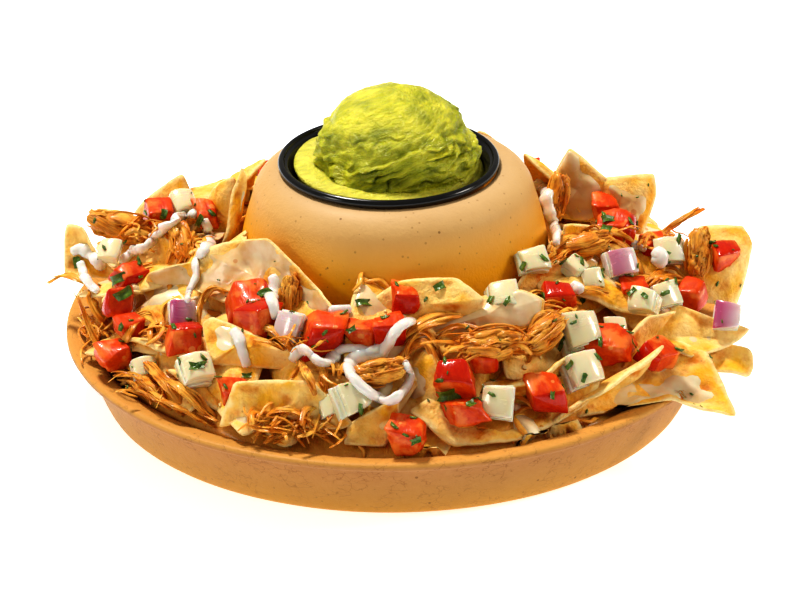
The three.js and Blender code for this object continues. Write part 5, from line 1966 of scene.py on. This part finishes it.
def leaf(size, seed):
    """A chopped leaf about the origin: a many-cornered sheet, bent along X."""
    random = seeded(seed)
    narrow = 0.45 + 0.35 * random()
    places = [k + 0.5 * (random() - 0.5) for k in range(LEAF_CORNERS)]
    turns = [2 * math.pi * place / LEAF_CORNERS for place in places]
    reaches = [(0.95 if k % 2 else 0.62) + 0.3 * (random() - 0.5) for k in range(LEAF_CORNERS)]
    corners = [(r * math.cos(a), r * math.sin(a) * narrow) for a, r in zip(turns, reaches)]
    outline = []
    for tip, following in zip(np.array(corners), np.roll(corners, -1, axis=0)):
        outline.extend(tip + (following - tip) * t / LEAF_STEPS for t in range(LEAF_STEPS))
    outline = np.array(outline)
    phase = 6 * random()
    rings = []
    for share in LEAF_RINGS:
        x, y = (outline * share).T
        fold = 0.35 * np.abs(y) + 0.16 * np.sin(3 * x + phase) - 0.2 * x * x
        rings.append(np.stack([x, y, fold], 1) * size / 2)
    lower = [ring - (0, 0, LEAF_THICKNESS) for ring in rings[::-1]]
    points, faces = closed_rings(rings + lower, [(0, 0, 0), (0, 0, -LEAF_THICKNESS)])
    return points, flipped(faces)


# Whole leaves by where they show in the view: across, down, length, turn.
LEAVES = [
    (163, 214, 7, 80), (200, 221, 8, 60), (77, 262, 8, 100), (119, 279, 11, 20), (123, 293, 12, 30),
    (265, 294, 9, 40), (350, 302, 9, 70), (363, 303, 9, 10), (440, 287, 8, 30), (491, 300, 6, 80),
    (450, 393, 15, 15), (608, 220, 9, 20), (606, 229, 7, 160), (665, 262, 6, 90), (303, 351, 6, 30),
    (582, 300, 6, 40), (416, 440, 7, 20), (246, 376, 6, 10), (524, 266, 6, 60), (470, 404, 7, 40),
    (632, 292, 6, 50), (645, 296, 5, 130), (584, 378, 6, 70), (570, 365, 6, 40), (668, 204, 5, 20),
    (552, 395, 5, 80), (688, 233, 6, 10), (385, 318, 5, 50), (352, 330, 6, 30), (197, 366, 9, 10),
]
herbs = Batch()
for index, (across, down, length, turn) in enumerate(LEAVES):
    point, normal = seen_at(across, down)
    if point is None:
        continue
    normal = unit(normal + 0.35 * np.array(camera_back))
    points, faces = leaf(length, index + 1)
    way = math.radians(turn)
    heading = np.array(camera_right) * math.cos(way) + np.array(camera_up) * math.sin(way)
    along = unit(heading - normal * np.dot(heading, normal))
    across_leaf = np.cross(normal, along)
    placed = points[:, :1] * along + points[:, 1:2] * across_leaf + points[:, 2:] * normal
    herbs.add(placed + point + normal * 0.7, faces)
herbs.piece("herb_leaves", green_leaf)

# %% [markdown]
# ## Scattering the small things
#
# Flakes of herb, crumbs of chip and short ends of meat lie everywhere, which is work for
# Geometry Nodes. One tree serves them all: it strews points on a surface, sets a small piece
# on each with a random turn and size, and turns the result into real mesh. Its inputs have
# names, and each use sets them by their identifiers before the tree is first evaluated.

# %% The scatter tree
SCATTER_DEFAULTS = {
    "Density": 1000.0, "Smallest": 0.6, "Largest": 1.3, "Facing": 0.2, "Tilt": 0.3, "Lift": 0.0002,
}


def scatter_tree():
    """The tree that strews a small piece over the faces of a surface that look up."""
    tree = bpy.data.node_groups.new("scatter_on_surface", "GeometryNodeTree")
    face = tree.interface
    face.new_socket("Geometry", in_out="OUTPUT", socket_type="NodeSocketGeometry")
    face.new_socket("Surface", in_out="INPUT", socket_type="NodeSocketGeometry")
    face.new_socket("Small Piece", in_out="INPUT", socket_type="NodeSocketObject")
    for label, value in SCATTER_DEFAULTS.items():
        face.new_socket(label, in_out="INPUT", socket_type="NodeSocketFloat").default_value = value
    face.new_socket("Seed", in_out="INPUT", socket_type="NodeSocketInt")
    face.new_socket("Finish", in_out="INPUT", socket_type="NodeSocketMaterial")
    given = tree.nodes.new("NodeGroupInput").outputs
    result = tree.nodes.new("NodeGroupOutput").inputs

    def step(family, kind, inputs=None, **settings):
        """One node of the tree; what it gives back are its outputs."""
        return add(tree, kind, inputs, family, **settings).outputs

    # Points on the faces that look up enough, each a little above its face.
    normal = step("GeometryNode", "InputNormal")
    upright = step("ShaderNode", "SeparateXYZ", {0: normal[0]})
    faces_up = step("FunctionNode", "Compare", {0: upright["Z"], 1: given["Facing"]})
    sockets = {"Mesh": given["Surface"], "Selection": faces_up[0], "Density": given["Density"]}
    sockets["Seed"] = given["Seed"]
    strew = step("GeometryNode", "DistributePointsOnFaces", sockets)
    sockets = {0: strew["Normal"], "Scale": given["Lift"]}
    lift = step("ShaderNode", "VectorMath", sockets, operation="SCALE")
    sockets = {"Geometry": strew["Points"], "Offset": lift[0]}
    raised = step("GeometryNode", "SetPosition", sockets)
    # Each piece turns any way about the normal, tips within the tilt, and has its own size.
    tilt, seed = given["Tilt"], given["Seed"]
    back = step("ShaderNode", "Math", {0: tilt, 1: -1.0}, operation="MULTIPLY")[0]
    low = step("ShaderNode", "CombineXYZ", {"X": back, "Y": back})
    high = step("ShaderNode", "CombineXYZ", {"X": tilt, "Y": tilt, "Z": 2 * math.pi})
    sockets = {"Min": low[0], "Max": high[0], "Seed": seed}
    turn = step("FunctionNode", "RandomValue", sockets, data_type="FLOAT_VECTOR")
    sockets = {"Rotation": strew["Rotation"], "Rotate By": turn["Value"]}
    spin = step("FunctionNode", "RotateRotation", sockets, rotation_space="LOCAL")
    sockets = {2: given["Smallest"], 3: given["Largest"], "Seed": seed}
    size = step("FunctionNode", "RandomValue", sockets)
    source = step("GeometryNode", "ObjectInfo", {"Object": given["Small Piece"]})
    sockets = {"Points": raised["Geometry"], "Instance": source["Geometry"]}
    sockets.update({"Rotation": spin["Rotation"], "Scale": size[1]})
    place = step("GeometryNode", "InstanceOnPoints", sockets)
    # The result is plain mesh with the given finish.
    real = step("GeometryNode", "RealizeInstances", {"Geometry": place["Instances"]})
    sockets = {"Geometry": real["Geometry"], "Material": given["Finish"]}
    finish = step("GeometryNode", "SetMaterial", sockets)
    tree.links.new(finish["Geometry"], result["Geometry"])
    return tree


SCATTER = scatter_tree()


def scatter(name, surfaces, small, finish, slot, **settings):
    """Strews a small closed mesh over some finished pieces, as one plain mesh."""
    points, faces, grain = small
    one_mesh = mesh_of(name + "_one", points, faces, {"grain": grain})
    one = bpy.data.objects.new(name + "_one", one_mesh)
    carrier_mesh = bpy.data.meshes.new(name)
    surface_points, surface_faces = joined(surfaces)
    carrier_mesh.from_pydata([tuple(place) for place in surface_points], [], surface_faces)
    carrier = bpy.data.objects.new(name + "_carrier", carrier_mesh)
    scene.collection.objects.link(carrier)
    modifier = carrier.modifiers.new("scatter", "NODES")
    modifier.node_group = SCATTER
    sockets = [item for item in SCATTER.interface.items_tree if item.in_out == "INPUT"]
    inputs = {item.name: item.identifier for item in sockets}
    modifier[inputs["Small Piece"]] = one
    modifier[inputs["Finish"]] = finish
    for label, value in settings.items():
        modifier[inputs[label]] = value
    evaluated = carrier.evaluated_get(bpy.context.evaluated_depsgraph_get())
    mesh = bpy.data.meshes.new_from_object(evaluated)
    mesh.name = name
    bpy.data.objects.remove(carrier)
    bpy.data.objects.remove(one)
    return ridden(name, mesh)


def flake(size, thickness):
    """A torn scrap of leaf: a bent five-cornered sheet."""
    corners = [(1.2, 0.1), (0.5, 0.5), (-0.9, 0.4), (-1.1, -0.3), (0.4, -0.45)]
    upper = [(x * size, y * size, 0.2 * size * x * x + 0.1 * size * y) for x, y in corners]
    lower = [(x, y, z - thickness) for x, y, z in upper]
    n = len(corners)
    faces = [tuple(range(n)), tuple(range(2 * n - 1, n - 1, -1))]
    faces += [(j, n + j, n + (j + 1) % n, (j + 1) % n) for j in range(n)]
    return np.array(upper + lower), faces, np.zeros((2 * n, 3))


def crumb(size):
    """An angular crumb of fried chip."""
    points, faces = SMALL_POINTS, SMALL_FACES
    shaped = points * (0.6 + 0.4 * wave(points, 1.1, 3))[:, None] * (size, 0.8 * size, 0.35 * size)
    return shaped, faces, np.zeros((len(points), 3))


def short_fibre(length, radius):
    """A short torn end of meat that lies in a low curve."""
    t = np.linspace(-1, 1, 8)
    aside = 0.16 * length * (1 - t**2) + 0.05 * length * np.sin(4 * t)
    path = np.stack([t * length / 2, aside, 0.1 * length * (1 - t**2)], 1)
    radii = radius * (0.35 + 0.65 * np.sqrt(1 - 0.9 * t**2))
    return tube(path, radii, sides=6, flat=0.45)


# %% Scattered pieces
scatter(
    "meat_ends", [bed_piece, low_chips_piece], short_fibre(13, 1.3), sauced_chicken, "chicken",
    Density=3600.0, Smallest=0.4, Largest=1.2, Facing=0.45, Tilt=0.3, Lift=0.0004, Seed=3,
)
scatter(
    "herb_flakes", [tomato_piece, white_piece, red_piece], flake(1.15, 0.25), green_leaf, "herbs",
    Density=8000.0, Smallest=0.4, Largest=2.0, Facing=-0.1, Tilt=0.3, Lift=0.0003, Seed=5,
)
scatter(
    "herb_flecks", [chips_piece, low_chips_piece, meat_piece, cheese_piece], flake(0.9, 0.25),
    green_leaf, "herbs",
    Density=1100.0, Smallest=0.4, Largest=1.5, Facing=0.25, Tilt=0.3, Lift=0.0003, Seed=8,
)
scatter(
    "chip_crumbs", [low_chips_piece, bed_piece], crumb(1.2), corn_chip, "chips",
    Density=2400.0, Smallest=0.3, Largest=1.4, Facing=0.4, Tilt=0.4, Lift=0.0004, Seed=9,
)
